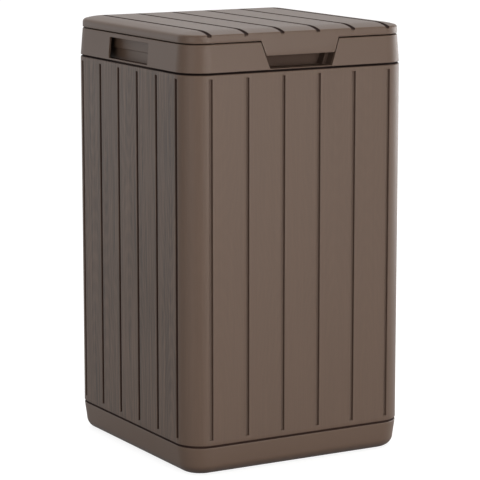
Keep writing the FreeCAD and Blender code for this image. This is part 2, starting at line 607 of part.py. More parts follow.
def lid_hinges(body):
    """Lid knuckles, their bores, and room in the rear skirt for the rim's knuckles and stops."""
    outside = less(HALF_Y, "dim.rim_lean")
    room_y = (less(outside, "2 * dim.knuckle_radius + 1"), plus(outside, "1"))
    head_room = "(dim.pin_head_thick + 2 * dim.knuckle_gap)"
    ends = [(head_room, "dim.knuckle_gap"), ("dim.knuckle_gap", "dim.knuckle_gap"),
            ("dim.knuckle_gap", "dim.knuckle_gap"), ("dim.knuckle_gap", head_room)]
    knuckle_room = [box_path(less(start, before), plus(start, "dim.rim_knuckle", after), *room_y)
                    for start, (before, after) in zip(hinge_starts(), ends)]
    pocket(body, "knuckle_room", knuckle_room, less(LID_FOOT, "1"), plus(HINGE_Z, "6"))
    half = "(dim.stop_wide / 2 + 1)"
    stop_room = [box_path(less(stop_place(sign), half), plus(stop_place(sign), half), less(outside, "6"),
                          plus(outside, "1")) for sign in (-1, 1)]
    pocket(body, "stop_room", stop_room, less(LID_FOOT, "1"), plus(LID_FOOT, "3.1"))
    radius = "dim.knuckle_radius"
    for number, sign in enumerate((-1, 1)):
        start = "(%d * dim.hinge_place - dim.lid_knuckle / 2)" % sign
        end = plus(start, "dim.lid_knuckle")
        profile = [(less(HINGE_Y, radius), plus(HINGE_Z, "dim.knuckle_rise")), (less(HINGE_Y, radius), HINGE_Z, radius),
                   (HINGE_Y, less(HINGE_Z, radius), radius), (plus(HINGE_Y, radius), HINGE_Z),
                   (plus(HINGE_Y, radius), plus(HINGE_Z, "dim.knuckle_rise"))]
        pad(body, "knuckle_%d" % number, [profile], start, end, role="YZ_Plane")
        pocket(body, "knuckle_bore_%d" % number, low=less(start, "0.5"), high=plus(end, "0.5"),
               circles=[(HINGE_Y, HINGE_Z, "dim.pin_radius + dim.pin_play")], role="YZ_Plane")


def make_lid_liner():
    """Inner panel of the lid: an edge that rests on the rim and a shallow dished field."""
    body = new_body("lid_liner")
    wall = "dim.shell_thick"
    low = plus(RIM_TOP, "dim.fit_gap")
    dish, edge = "dim.liner_dish", "dim.liner_edge"
    pad(body, "edge", [inset_path(edge)], low, plus(low, wall))
    pad(body, "dish", [round_path(less(HALF_X, dish), less(HALF_Y, dish), "12")], LINER_FLOOR, plus(low, "1"))
    pocket(body, "dish_inside", [round_path(less(HALF_X, dish, wall), less(HALF_Y, dish, wall), "9")],
           plus(LINER_FLOOR, wall), plus(low, wall, "1"))
    holes = [("%d * dim.lid_screw_place" % x, "%d * dim.lid_screw_place" % y, "dim.screw_radius + dim.pin_fit")
             for x in (-1, 0, 1) for y in (-1, 0, 1)]
    pocket(body, "holes", low=less(LINER_FLOOR, "1"), high=plus(LINER_FLOOR, wall, "1"), circles=holes)
    return body


# ---------------------------------------------------------------- pins and screws
def make_hinge_pin(name, sign):
    """Steel pin with a head on its outer end, pushed through one hinge's three knuckles."""
    body = new_body(name)
    length = "(dim.lid_knuckle + 2 * dim.knuckle_gap + 2 * dim.rim_knuckle)"
    pad(body, "shank", low="0", high=length, circles=[("0", "0", "dim.pin_radius")], role="YZ_Plane")
    head_out = "(0.1 + dim.pin_head_thick)"
    ends = (plus(length, "0.1"), plus(length, head_out)) if sign > 0 else ("-" + head_out, "-0.1")
    neck = (less(length, "0.5"), plus(length, "0.5")) if sign > 0 else ("-0.5", "0.5")
    pad(body, "neck", low=neck[0], high=neck[1], circles=[("0", "0", "dim.pin_radius")], role="YZ_Plane")
    pad(body, "head", low=ends[0], high=ends[1], circles=[("0", "0", "dim.pin_head")], role="YZ_Plane")
    body.setExpression("Placement.Base.x", "%d * dim.hinge_place - %s / 2" % (sign, length))
    body.setExpression("Placement.Base.y", HINGE_Y)
    body.setExpression("Placement.Base.z", HINGE_Z)
    doc.recompute()
    return body


def make_screw():
    """One self-tapping screw, head below the XY plane and shank above it."""
    body = new_body("screw")
    pad(body, "shank", low="0", high="dim.screw_long", circles=[("0", "0", "dim.screw_radius")])
    head = pad(body, "head", low="(-dim.head_high)", high="0", circles=[("0", "0", "dim.screw_head")])
    rim = body.newObject("PartDesign::Fillet", "head_round")
    rim.Base = (head, ["Edge%d" % (number + 1) for number, edge in enumerate(head.Shape.Edges)
                       if edge.BoundBox.ZMax < 0.01 - value("dim.head_high")])
    rim.setExpression("Radius", "dim.head_high / 2")
    doc.recompute()
    arms = [box_path("-2.2", "2.2", "-0.5", "0.5"), box_path("-0.5", "0.5", "-2.2", "2.2")]
    for number, arm in enumerate(arms):
        pocket(body, "recess_%d" % number, [arm], "(-dim.head_high - 1)", "(-dim.head_high * 0.4)")
    return body


def make_screw_group(name, screw, places):
    """Identical screws as one piece of the list: each place is (point, direction of the shank)."""
    copies = []
    for point, direction in places:
        turn = FreeCAD.Rotation(Vector(0, 0, 1), Vector(*direction))
        shape = screw.Shape.copy()
        shape.Placement = FreeCAD.Placement(Vector(*[value(number) for number in point]), turn)
        copies.append(shape)
    group = doc.addObject("Part::Feature", name)
    group.Label = name
    group.Shape = Part.makeCompound(copies)
    return group


def wall_screw_places(inset, height):
    """Two screws a side, heads inside the box on a face at an inset."""
    places = []
    for sign in (-1, 1):
        along = "(%d * dim.screw_place)" % sign
        for side in (-1, 1):
            x_face = "(%d * (%s - (%s)))" % (side, HALF_X, inset)
            y_face = "(%d * (%s - (%s)))" % (side, HALF_Y, inset)
            places.append(((x_face, along, height), (side, 0, 0)))
            places.append(((along, y_face, height), (0, side, 0)))
    return places


base_tray = make_base_tray()
front_panel = make_end_panel("front_panel", -1)
back_panel = make_end_panel("back_panel", 1)
left_panel = make_side_panel("left_panel", -1)
right_panel = make_side_panel("right_panel", 1)
strips = [make_joint_strip("%s_%s_joint_strip" % (end, side), x_sign, y_sign)
          for end, y_sign in (("front", -1), ("back", 1)) for side, x_sign in (("left", -1), ("right", 1))]
rim_frame = make_rim_frame()
lid_shell = make_lid_shell()
lid_liner = make_lid_liner()
pins = [make_hinge_pin("left_hinge_pin", -1), make_hinge_pin("right_hinge_pin", 1)]
screw = make_screw()
base_screws = make_screw_group("base_screws", screw,
                               wall_screw_places(plus(UPSTAND_INSET, "dim.shell_thick"), SCREW_HEIGHT_BASE))
rim_screws = make_screw_group("rim_screws", screw,
                              wall_screw_places(plus(LIP_INSET, "dim.shell_thick"), SCREW_HEIGHT_RIM))
lid_screws = make_screw_group("lid_screws", screw, [
    (("%d * dim.lid_screw_place" % x, "%d * dim.lid_screw_place" % y, LINER_FLOOR), (0, 0, 1))
    for x in (-1, 0, 1) for y in (-1, 0, 1)])

# ---------------------------------------------------------------- check and write
doc.recompute()
pieces = [base_tray, front_panel, back_panel, left_panel, right_panel] + strips
pieces += [rim_frame, lid_shell, lid_liner] + pins + [base_screws, rim_screws, lid_screws]
for item in doc.Objects:
    if "Invalid" in item.State or "Error" in item.State:
        raise RuntimeError("%s could not be built: %s" % (item.Name, item.State))
for piece in pieces + [screw]:
    if piece.Shape.isNull() or not piece.Shape.isValid():
        raise RuntimeError("%s has no valid shape" % piece.Label)
os.makedirs("parts", exist_ok=True)
for piece in pieces:
    piece.Shape.exportStep("parts/%s.step" % piece.Label)
    box = piece.Shape.BoundBox
    print("%-26s %2d solid(s) %9.1f cm3  x %.1f..%.1f  y %.1f..%.1f  z %.1f..%.1f" % (
        piece.Label, len(piece.Shape.Solids), piece.Shape.Volume / 1000,
        box.XMin, box.XMax, box.YMin, box.YMax, box.ZMin, box.ZMax))
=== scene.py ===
"""Upright resin deck storage box: the visible pieces, finishes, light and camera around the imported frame."""
import bmesh
import bpy
import math
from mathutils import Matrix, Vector


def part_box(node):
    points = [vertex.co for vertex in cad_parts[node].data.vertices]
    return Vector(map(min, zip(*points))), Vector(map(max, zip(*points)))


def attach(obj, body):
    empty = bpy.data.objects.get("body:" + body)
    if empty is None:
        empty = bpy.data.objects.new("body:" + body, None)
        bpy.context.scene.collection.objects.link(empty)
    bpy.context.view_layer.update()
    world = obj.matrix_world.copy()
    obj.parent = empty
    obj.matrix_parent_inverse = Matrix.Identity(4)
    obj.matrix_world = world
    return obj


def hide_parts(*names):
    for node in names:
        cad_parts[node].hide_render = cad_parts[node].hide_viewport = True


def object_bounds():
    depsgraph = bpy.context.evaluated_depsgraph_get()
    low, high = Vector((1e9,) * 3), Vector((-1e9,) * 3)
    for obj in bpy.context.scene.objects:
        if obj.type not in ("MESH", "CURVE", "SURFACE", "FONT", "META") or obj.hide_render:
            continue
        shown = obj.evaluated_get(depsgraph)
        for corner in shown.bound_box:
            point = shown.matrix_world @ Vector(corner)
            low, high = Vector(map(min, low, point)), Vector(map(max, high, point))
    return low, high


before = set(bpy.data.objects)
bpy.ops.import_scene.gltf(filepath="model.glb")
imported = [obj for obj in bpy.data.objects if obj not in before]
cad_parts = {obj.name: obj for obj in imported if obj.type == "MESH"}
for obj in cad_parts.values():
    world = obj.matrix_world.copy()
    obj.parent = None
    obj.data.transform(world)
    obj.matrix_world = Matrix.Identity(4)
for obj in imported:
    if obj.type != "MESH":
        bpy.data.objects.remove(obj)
cad_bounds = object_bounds()

# ---------------------------------------------------------------------------------------------
# Base tray. The real piece is one injection moulding in brown polypropylene: a smooth skirt that
# rolls under to a flat foot band, a floor stiffened by ribs underneath, and a shelf with an upstand
# that the walls stand on. It stands on the ground and is screwed to the walls from inside.
# ---------------------------------------------------------------------------------------------
MM = 0.001
HALF = (Vector(cad_bounds[1]) / MM).x
CORNER = 46.0
STRAIGHT = HALF - CORNER
CORNER_STEPS = 14
BASE_SEAM = 50.0
SEAM_GAP = 2.6
FOOT_ROLL = 20.0
FOOT_LEAN = 4.0
SKIRT = 3.5
WALL = 3.0
FIT = 0.3
SHELF_TOP = 34.0
UPSTAND_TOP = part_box("base_tray")[1][2] / MM
FLOOR_TOP = 11.0
FLOOR_UNDER = 8.0
RIB_EDGE = 40.5
RIB_THICK = 5.0
RIB_CELLS = 6


def rounded(points, radii, steps=4, closed=True):
    """The polygon with each corner replaced by an arc of its own radius."""
    result = []
    count = len(points)
    for index, point in enumerate(points):
        radius = radii[index]
        if radius <= 0 or (not closed and index in (0, count - 1)):
            result.append(tuple(point))
            continue
        here = Vector(point)
        before = (Vector(points[index - 1]) - here).normalized()
        after = (Vector(points[(index + 1) % count]) - here).normalized()
        half_angle = math.acos(max(-1.0, min(1.0, before.dot(after)))) / 2
        reach = radius / math.tan(half_angle)
        start, end = here + before * reach, here + after * reach
        centre = here + (before + after).normalized() * (radius / math.sin(half_angle))
        a, b = start - centre, end - centre
        sweep = math.atan2(a.x * b.y - a.y * b.x, a.dot(b))
        for step in range(steps + 1):
            turn = sweep * step / steps
            result.append((centre.x + a.x * math.cos(turn) - a.y * math.sin(turn),
                           centre.y + a.x * math.sin(turn) + a.y * math.cos(turn)))
    return result


def station(face, along):
    """Point on the box's plan outline and its outward normal, by face and distance along that face."""
    beyond = abs(along) - STRAIGHT
    turn = math.asin(beyond / CORNER) if beyond > 0 else 0.0
    side = math.copysign(1.0, along)
    normal = (math.sin(turn) * side, -math.cos(turn))
    base = (along, -HALF + CORNER * (1 - math.cos(turn)) if beyond > 0 else -HALF)
    quarter_turns = {"front": 0, "right": 1, "back": 2, "left": 3}[face]
    for _ in range(quarter_turns):
        normal, base = (-normal[1], normal[0]), (-base[1], base[0])
    return base, normal


def corner_places(start=0.0, end=45.0, steps=CORNER_STEPS // 2):
    """Distances along a face that follow its half of a corner arc."""
    return [STRAIGHT + CORNER * math.sin(math.radians(start + (end - start) * step / steps))
            for step in range(steps + 1)]


def full_outline():
    """Stations right round the box, anticlockwise from the front left."""
    half = corner_places()
    along = [-place for place in reversed(half)] + half
    return [station(face, place) for face in ("front", "right", "back", "left") for place in along]


def bridge(mesh, lower, upper, closed=True):
    """Faces between two matching rows of vertices."""
    for number in range(len(lower) if closed else len(lower) - 1):
        after = (number + 1) % len(lower)
        mesh.faces.new((lower[number], lower[after], upper[after], upper[number]))


def swept(mesh, stations, profile, closed_path=True, closed_profile=True, offset=None):
    """Rows of vertices: each profile point (inset, height) carried round the stations."""
    rows = []
    for row, (inset, height) in enumerate(profile):
        ring = []
        for number, (base, normal) in enumerate(stations):
            inward, lift = offset(row, number) if offset else (0.0, 0.0)
            depth = inset + inward
            ring.append(mesh.verts.new(((base[0] - normal[0] * depth) * MM, (base[1] - normal[1] * depth) * MM,
                                        (height + lift) * MM)))
        rows.append(ring)
    for row in range(len(rows) if closed_profile else len(rows) - 1):
        bridge(mesh, rows[row], rows[(row + 1) % len(rows)], closed_path)
    return rows


def tidy(mesh, merge=0.002):
    """Welds doubles, drops empty faces and turns every face outwards."""
    bmesh.ops.remove_doubles(mesh, verts=mesh.verts, dist=merge * MM)
    bmesh.ops.dissolve_degenerate(mesh, edges=mesh.edges, dist=merge * MM)
    bmesh.ops.recalc_face_normals(mesh, faces=mesh.faces)


def as_object(name, mesh, smooth_angle=35.0):
    """The bmesh as an object at the origin, smooth except at real edges."""
    data = bpy.data.meshes.new(name)
    mesh.to_mesh(data)
    mesh.free()
    data.shade_smooth()
    data.set_sharp_from_angle(angle=math.radians(smooth_angle))
    piece = bpy.data.objects.new(name, data)
    bpy.context.scene.collection.objects.link(piece)
    return piece


def settle(piece, smooth_angle=35.0):
    """Turns the object's modifiers into plain mesh and removes them."""
    depsgraph = bpy.context.evaluated_depsgraph_get()
    data = bpy.data.meshes.new_from_object(piece.evaluated_get(depsgraph), depsgraph=depsgraph)
    piece.modifiers.clear()
    piece.data = data
    data.shade_smooth()
    data.set_sharp_from_angle(angle=math.radians(smooth_angle))
    return piece


def add_solid(mesh, other):
    """Copies a finished bmesh into another and frees it."""
    data = bpy.data.meshes.new("part")
    other.to_mesh(data)
    other.free()
    mesh.from_mesh(data)
    bpy.data.meshes.remove(data)


def block(ends):
    """Closed solid between two matching rings of points in mm."""
    solid = bmesh.new()
    ends = [[solid.verts.new(Vector(point) * MM) for point in end] for end in ends]
    for end in ends:
        solid.faces.new(end)
    bridge(solid, *ends)
    bmesh.ops.recalc_face_normals(solid, faces=solid.faces)
    return solid


def prism(points, low, high, axis="z", round_edges=0.0):
    """Closed solid: a plan polygon in mm pulled along an axis, with its edges rounded if asked."""
    place = {"z": lambda a, b, c: (a, b, c), "x": lambda a, b, c: (c, a, b)}[axis]
    solid = block([[place(a, b, c) for a, b in points] for c in (low, high)])
    if round_edges:
        sharp = [edge for edge in solid.edges if edge.calc_face_angle(0) > math.radians(35)]
        bmesh.ops.bevel(solid, geom=sharp, offset=round_edges * MM, segments=2, profile=0.5, affect="EDGES",
                        clamp_overlap=True)
    return solid


tray = bmesh.new()
under = [(RIB_EDGE, FLOOR_UNDER), (RIB_EDGE, 0.0)]
roll = [(FOOT_LEAN + FOOT_ROLL * (1 - math.sin(math.radians(a))), FOOT_ROLL * (1 - math.cos(math.radians(a))))
        for a in range(0, 82, 9)]
skirt_top = BASE_SEAM - SEAM_GAP / 2
upstand_out = SKIRT + FIT + WALL + FIT
tray_inside = rounded(
    [(FOOT_LEAN, FOOT_ROLL), (0.0, skirt_top), (SKIRT, skirt_top), (SKIRT, SHELF_TOP), (upstand_out, SHELF_TOP),
     (upstand_out, UPSTAND_TOP), (upstand_out + WALL, UPSTAND_TOP), (upstand_out + WALL, SHELF_TOP - WALL),
     (SKIRT, SHELF_TOP - WALL), (SKIRT + 4.5, 18.0), (SKIRT + 12.5, FLOOR_TOP), (RIB_EDGE, FLOOR_TOP)],
    [0, 2.2, 0.8, 0.6, 0.8, 1.0, 1.0, 0.4, 0.5, 4.0, 4.0, 0], 4, closed=False)
rows = swept(tray, full_outline(), under + roll + tray_inside, closed_profile=False)
for end in (0, -1):
    tray.faces.new(rows[end])
tidy(tray)
base_tray = as_object("base_tray_shell", tray)


def put(tree, kind, inputs=(), **settings):
    """A new node with its settings, and its inputs given as values or as sockets to link from."""
    node = tree.nodes.new(kind)
    for name, setting in settings.items():
        setattr(node, name, setting)
    for socket, value in dict(inputs).items():
        if isinstance(value, bpy.types.NodeSocket):
            tree.links.new(value, node.inputs[socket])
        else:
            node.inputs[socket].default_value = value
    return node


def maths(tree, operation, *values, kind="ShaderNodeMath", **settings):
    """Output of a maths node on numbers, tuples or sockets."""
    return put(tree, kind, enumerate(values), operation=operation, **settings).outputs[0]


def new_group(name, kind, inputs, outputs):
    """A node group with named inputs and outputs: the group, what it is given and what it puts out."""
    group = bpy.data.node_groups.new(name, kind)
    for direction, sockets in (("INPUT", inputs), ("OUTPUT", outputs)):
        for label, value_kind in sockets:
            group.interface.new_socket(label, in_out=direction, socket_type="NodeSocket" + value_kind)
    return group, put(group, "NodeGroupInput").outputs, put(group, "NodeGroupOutput").inputs


def end_painted(tree, geometry, given, out):
    """Ends a geometry tree with its material set on the geometry."""
    paint = put(tree, "GeometryNodeSetMaterial", {"Geometry": geometry, "Material": given["Material"]})
    tree.links.new(paint.outputs[0], out[0])
    return tree


def rib_grid_tree():
    """Crossing ribs: bars along X and Y, evenly spaced between the first and the last."""
    tree, given, out = new_group(
        "rib_grid", "GeometryNodeTree",
        [("Span", "Float"), ("Rib thickness", "Float"), ("Rib height", "Float"), ("Ribs each way", "Int"),
         ("Material", "Material")], [("Geometry", "Geometry")])
    half = maths(tree, "MULTIPLY", given["Span"], (RIB_CELLS - 2) / RIB_CELLS / 2)
    first, last = (put(tree, "ShaderNodeCombineXYZ", {"Y": place}).outputs[0]
                   for place in (maths(tree, "MULTIPLY", half, -1.0), half))
    line = put(tree, "GeometryNodeMeshLine",
               {"Count": given["Ribs each way"], "Start Location": first, "Offset": last}, mode="END_POINTS")
    size = put(tree, "ShaderNodeCombineXYZ",
               {"X": given["Span"], "Y": given["Rib thickness"], "Z": given["Rib height"]})
    bar = put(tree, "GeometryNodeMeshCube", {"Size": size.outputs[0]})
    spread = put(tree, "GeometryNodeInstanceOnPoints",
                 {"Points": line.outputs["Mesh"], "Instance": bar.outputs["Mesh"]})
    real = put(tree, "GeometryNodeRealizeInstances", {0: spread.outputs[0]})
    turned = put(tree, "GeometryNodeTransform", {0: real.outputs[0], "Rotation": (0, 0, math.pi / 2)})
    both = put(tree, "GeometryNodeJoinGeometry", {0: real.outputs[0]})
    tree.links.new(turned.outputs[0], both.inputs[0])
    rise = put(tree, "ShaderNodeCombineXYZ", {"Z": maths(tree, "MULTIPLY", given["Rib height"], 0.5)})
    lift = put(tree, "GeometryNodeTransform", {0: both.outputs[0], "Translation": rise.outputs[0]})
    return end_painted(tree, lift.outputs[0], given, out)


def grow(name, tree, values, data=None):
    """Runs a geometry tree with its named inputs, on a mesh if given, and keeps the result as plain mesh."""
    if data is None:
        data = bpy.data.meshes.new(name)
    holder = bpy.data.objects.new(name, data)
    bpy.context.scene.collection.objects.link(holder)
    made = holder.modifiers.new("make", "NODES")
    made.node_group = tree
    for item in tree.interface.items_tree:
        if item.in_out == "INPUT" and item.name in values:
            made[item.identifier] = values[item.name]
    return settle(holder)


def noise(tree, source, scale, detail, rough=0.5):
    inputs = {"Vector": source, "Scale": scale, "Detail": detail, "Roughness": rough}
    return put(tree, "ShaderNodeTexNoise", inputs).outputs["Fac"]


def moulded_skin_group():
    """Fine texture of a moulded surface: faint mottling of the colour, roughness and a low grain."""
    group, given, out = new_group(
        "moulded_skin", "ShaderNodeTree",
        [("Vector", "Vector"), ("Colour", "Color"), ("Mottle", "Float"), ("Roughness", "Float")],
        [("Colour", "Color"), ("Roughness", "Float"), ("Height", "Float")])

    def number(*values):
        return maths(group, *values)

    broad, fine = noise(group, given["Vector"], 9.0, 3.0), noise(group, given["Vector"], 700.0, 2.0)
    swing = number("SUBTRACT", number("ADD", number("MULTIPLY", broad, 0.6), number("MULTIPLY", fine, 0.4)), 0.5)
    factor = number("ADD", 1.0, number("MULTIPLY", swing, given["Mottle"]))
    tint = put(group, "ShaderNodeVectorMath", {0: given["Colour"], "Scale": factor}, operation="SCALE")
    group.links.new(tint.outputs[0], out["Colour"])
    group.links.new(number("ADD", given["Roughness"], number("MULTIPLY", swing, 0.12)), out["Roughness"])
    group.links.new(fine, out["Height"])
    return group


SKIN_GROUP = moulded_skin_group()


def linear(red, green, blue):
    """A colour given in the usual 0-255 screen numbers, as linear light."""
    def one(value):
        value /= 255.0
        return value / 12.92 if value <= 0.04045 else ((value + 0.055) / 1.055) ** 2.4
    return (one(red), one(green), one(blue), 1.0)


def skinned(name, constants, colour, mottle, roughness):
    """A material with the moulded skin's colour and roughness, and constants on the shader's own sockets."""
    material = bpy.data.materials.new(name)
    material.use_nodes = True
    tree = material.node_tree
    shader = tree.nodes["Principled BSDF"]
    for socket, value in constants.items():
        shader.inputs[socket].default_value = value
    place = put(tree, "ShaderNodeTexCoord").outputs["Object"]
    inputs = {"Vector": place, "Colour": colour, "Mottle": mottle, "Roughness": roughness}
    skin = put(tree, "ShaderNodeGroup", inputs, node_tree=SKIN_GROUP)
    tree.links.new(skin.outputs["Colour"], shader.inputs["Base Color"])
    tree.links.new(skin.outputs["Roughness"], shader.inputs["Roughness"])
    return material


def resin(name, colour, roughness=0.5, mottle=0.10, bump=0.10):
    """Moulded polypropylene: satin, faintly mottled, with a fine mould texture."""
    material = skinned(name, {"IOR": 1.49, "Specular IOR Level": 0.42}, colour, mottle, roughness)
    tree = material.node_tree
    height = tree.nodes["Group"].outputs["Height"]
    relief = put(tree, "ShaderNodeBump", {"Strength": bump, "Distance": 0.0003, "Height": height})
    tree.links.new(relief.outputs["Normal"], tree.nodes["Principled BSDF"].inputs["Normal"])
    return material


BODY_COLOUR = linear(92, 73, 60)
body_resin = resin("satin_brown_resin", BODY_COLOUR)

RIB_SINK = 0.5
floor_ribs = grow("floor_ribs", rib_grid_tree(), {
    "Span": (2 * (HALF - RIB_EDGE) + 2 * RIB_SINK) * MM, "Rib thickness": RIB_THICK * MM,
    "Rib height": (FLOOR_UNDER + RIB_SINK) * MM, "Ribs each way": RIB_CELLS - 1, "Material": body_resin})
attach(floor_ribs, "box")

# ---------------------------------------------------------------------------------------------
# Walls. Four polypropylene mouldings with the look of upright planks: 6 mm grooves between them and
# a wood grain in the mould. Front and back wrap the corners and meet the side walls in the outermost
# side grooves. A tongue at the foot drops into the base, and one at the head runs up into the rim.
# ---------------------------------------------------------------------------------------------
PITCH = 69.0
GROOVES = [PITCH * (number - 2.5) for number in range(6)]
SEAM = GROOVES[-1]
GROOVE_DEEP = 3.5
RIM_HIGH = 48.0
TONGUE_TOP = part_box("right_panel")[1][2] / MM
RIM_TOP = TONGUE_TOP + SKIRT
RIM_SEAM = RIM_TOP - RIM_HIGH
WALL_FOOT = BASE_SEAM + SEAM_GAP / 2
WALL_HEAD = RIM_SEAM - SEAM_GAP / 2
GROOVE_FOOT = BASE_SEAM + 11.0
GROOVE_HEAD = RIM_SEAM - 9.0
TONGUE = 21.3
# A groove's depth, as a share of the full depth, at a distance in from its edge. Negative is outside.
GROOVE_EDGE = [(-1.0, 0.0), (-0.6, 0.03), (-0.25, 0.12), (0.0, 0.32), (0.2, 0.62), (0.45, 0.86), (0.9, 0.97),
               (1.5, 1.0)]
GROOVE_REACH = 3.0


def share(distance):
    """Groove depth share at a distance inside the groove's edge."""
    if distance <= GROOVE_EDGE[0][0]:
        return 0.0
    for (a, low), (b, high) in zip(GROOVE_EDGE, GROOVE_EDGE[1:]):
        if distance <= b:
            return low + (high - low) * (distance - a) / (b - a)
    return 1.0


def groove_share(along):
    return max(share(GROOVE_REACH - abs(along - middle)) for middle in GROOVES)


def ridge_share(along):
    """The rib behind a groove, a wall thickness wider on each side."""
    away = min(abs(along - middle) for middle in GROOVES)
    return min(1.0, max(0.0, (GROOVE_REACH + WALL + 1.0 - away) / 1.0))


def groove_columns(low, high, middles=GROOVES):
    """Places along a face where the mesh needs a column to show the grooves between low and high."""
    places = []
    for middle in middles:
        for distance, _ in GROOVE_EDGE:
            places += [middle - GROOVE_REACH + distance, middle + GROOVE_REACH - distance]
        places += [middle - GROOVE_REACH - WALL, middle + GROOVE_REACH + WALL,
                   middle - GROOVE_REACH - WALL - 1, middle + GROOVE_REACH + WALL + 1]
    return sorted(place for place in places if low < place < high)


def wall_profile():
    """Section of a wall as a closed loop of (inset, height), with the groove's share for each point."""
    foot_in = SKIRT + FIT
    outline = [(foot_in, SHELF_TOP), (foot_in, WALL_FOOT), (0, WALL_FOOT), (0, WALL_HEAD), (TONGUE, WALL_HEAD),
               (TONGUE, TONGUE_TOP), (TONGUE + WALL, TONGUE_TOP), (TONGUE + WALL, WALL_HEAD - WALL),
               (WALL, WALL_HEAD - WALL), (WALL, WALL_FOOT + 4), (foot_in + WALL, WALL_FOOT + 4),
               (foot_in + WALL, SHELF_TOP)]
    radii = [0.6, 0.6, 1.2, 2.2, 1.0, 0.8, 0.8, 1.0, 1.5, 1.0, 0.6, 0.6]
    loop = rounded(outline, radii, 3)
    ends = [(GROOVE_FOOT + d, s) for d, s in GROOVE_EDGE]
    heads = [(GROOVE_HEAD - d, s) for d, s in reversed(GROOVE_EDGE)]
    result = []
    for index, point in enumerate(loop):
        result.append((point, 0.0, 0.0))
        after = loop[(index + 1) % len(loop)]
        if abs(point[0]) < 0.01 and abs(after[0]) < 0.01 and after[1] - point[1] > 300:
            result += [((0.0, z), s, 0.0) for z, s in ends + heads]
        if abs(point[0] - WALL) < 0.01 and abs(after[0] - WALL) < 0.01 and point[1] - after[1] > 300:
            inner = [(GROOVE_HEAD + WALL + 1, 0.0), (GROOVE_HEAD + WALL, 1.0), (GROOVE_FOOT - WALL, 1.0),
                     (GROOVE_FOOT - WALL - 1, 0.0)]
            result += [((WALL, z), 0.0, s) for z, s in inner]
    return result


def wall_piece(places, lowered=None):
    """A wall along a path of (face, distance): one closed shell with its grooves and ridges."""
    profile = wall_profile()
    stations = [station(face, along) for face, along in places]

    def offset(row, number):
        (inset, height), outer, inner = profile[row]
        along = places[number][1]
        inward = GROOVE_DEEP * (outer * groove_share(along) + inner * ridge_share(along))
        drop = min(0.0, WALL_HEAD - height) if lowered and lowered(*places[number]) else 0.0
        return inward, drop

    mesh = bmesh.new()
    rows = swept(mesh, stations, [point for point, _, _ in profile], closed_path=False, offset=offset)
    for end in (0, -1):
        mesh.faces.new([row[end] for row in rows])
    return mesh


def seam_flange(x_sign, y_sign, lies):
    """Inward flange with a locking bead, behind the groove that hides a vertical seam."""
    gap, tip = FIT / 2, GROOVE_DEEP + 14.5
    steps = [(GROOVE_DEEP, gap), (tip, gap), (tip, gap + WALL + 2), (tip - 2, gap + WALL + 2), (tip - 2, gap + WALL),
             (GROOVE_DEEP + WALL, gap + WALL), (GROOVE_DEEP + WALL, GROOVE_REACH + WALL),
             (GROOVE_DEEP + 0.2, GROOVE_REACH + WALL)]
    points = [(x_sign * (HALF - inset), y_sign * SEAM + lies * away) for inset, away in steps]
    return prism(points, UPSTAND_TOP + 2, WALL_HEAD - WALL - 2, round_edges=0.3)


def split(tree, source):
    return put(tree, "ShaderNodeSeparateXYZ", {0: source}).outputs


def wood_grain_group():
    """Moulded wood grain: fine streaks along Z, arched rings on some planks, both broken at each groove."""
    group, given, out = new_group("wood_grain", "ShaderNodeTree",
                                  [("Vector", "Vector"), ("Plank", "Float"), ("Rings", "Float")],
                                  [("Grain", "Float")])

    def number(*values):
        return maths(group, *values)

    def vector(*values):
        return maths(group, *values, kind="ShaderNodeVectorMath")

    plank = put(group, "ShaderNodeCombineXYZ", {axis: given["Plank"] for axis in "XYZ"})
    cell = vector("ADD", vector("DIVIDE", given["Vector"], plank.outputs[0]), (0.5, 0.5, 0.0))
    index = vector("MULTIPLY", vector("FLOOR", cell), (1.0, 1.0, 0.0))
    chance = put(group, "ShaderNodeTexWhiteNoise", {"Vector": index}, noise_dimensions="3D").outputs["Color"]
    moved = vector("ADD", given["Vector"], vector("MULTIPLY", chance, (3.0, 3.0, 9.0)))
    streak_space = vector("MULTIPLY", moved, (1.0, 1.0, 0.022))
    fine = noise(group, streak_space, 560.0, 2.0)
    medium = noise(group, streak_space, 210.0, 3.0, 0.6)
    wavy = noise(group, vector("MULTIPLY", moved, (1.0, 1.0, 0.12)), 34.0, 3.0)
    here = split(group, vector("SUBTRACT", vector("FRACTION", cell), (0.5, 0.5, 0.0)))
    wobble = number("MULTIPLY", number("SUBTRACT", wavy, 0.5), 0.55)
    off_centre = number("MULTIPLY", number("SUBTRACT", split(group, chance)["X"], 0.5), 0.9)
    across = number("ADD", number("ADD", here["X"], here["Y"]), number("ADD", wobble, off_centre))
    turns = number("FRACT", number("MULTIPLY", split(group, moved)["Z"], 1.55))
    arch = number("MULTIPLY", number("SUBTRACT", turns, 0.5), 1.25)
    radius = number("SQRT", number("ADD", number("MULTIPLY", across, across), number("MULTIPLY", arch, arch)))
    rings = number("MULTIPLY", number("ADD", number("SINE", number("MULTIPLY", radius, 88.0)), 1.0), 0.5)
    rings = number("MULTIPLY", number("POWER", rings, 1.6), given["Rings"])
    streaks = number("ADD", number("MULTIPLY", fine, 0.35), number("MULTIPLY", medium, 0.65))
    total = number("ADD", streaks, number("MULTIPLY", number("SUBTRACT", rings, 0.4), 0.22))
    group.links.new(total, out["Grain"])
    return group


WOOD_GROUP = wood_grain_group()


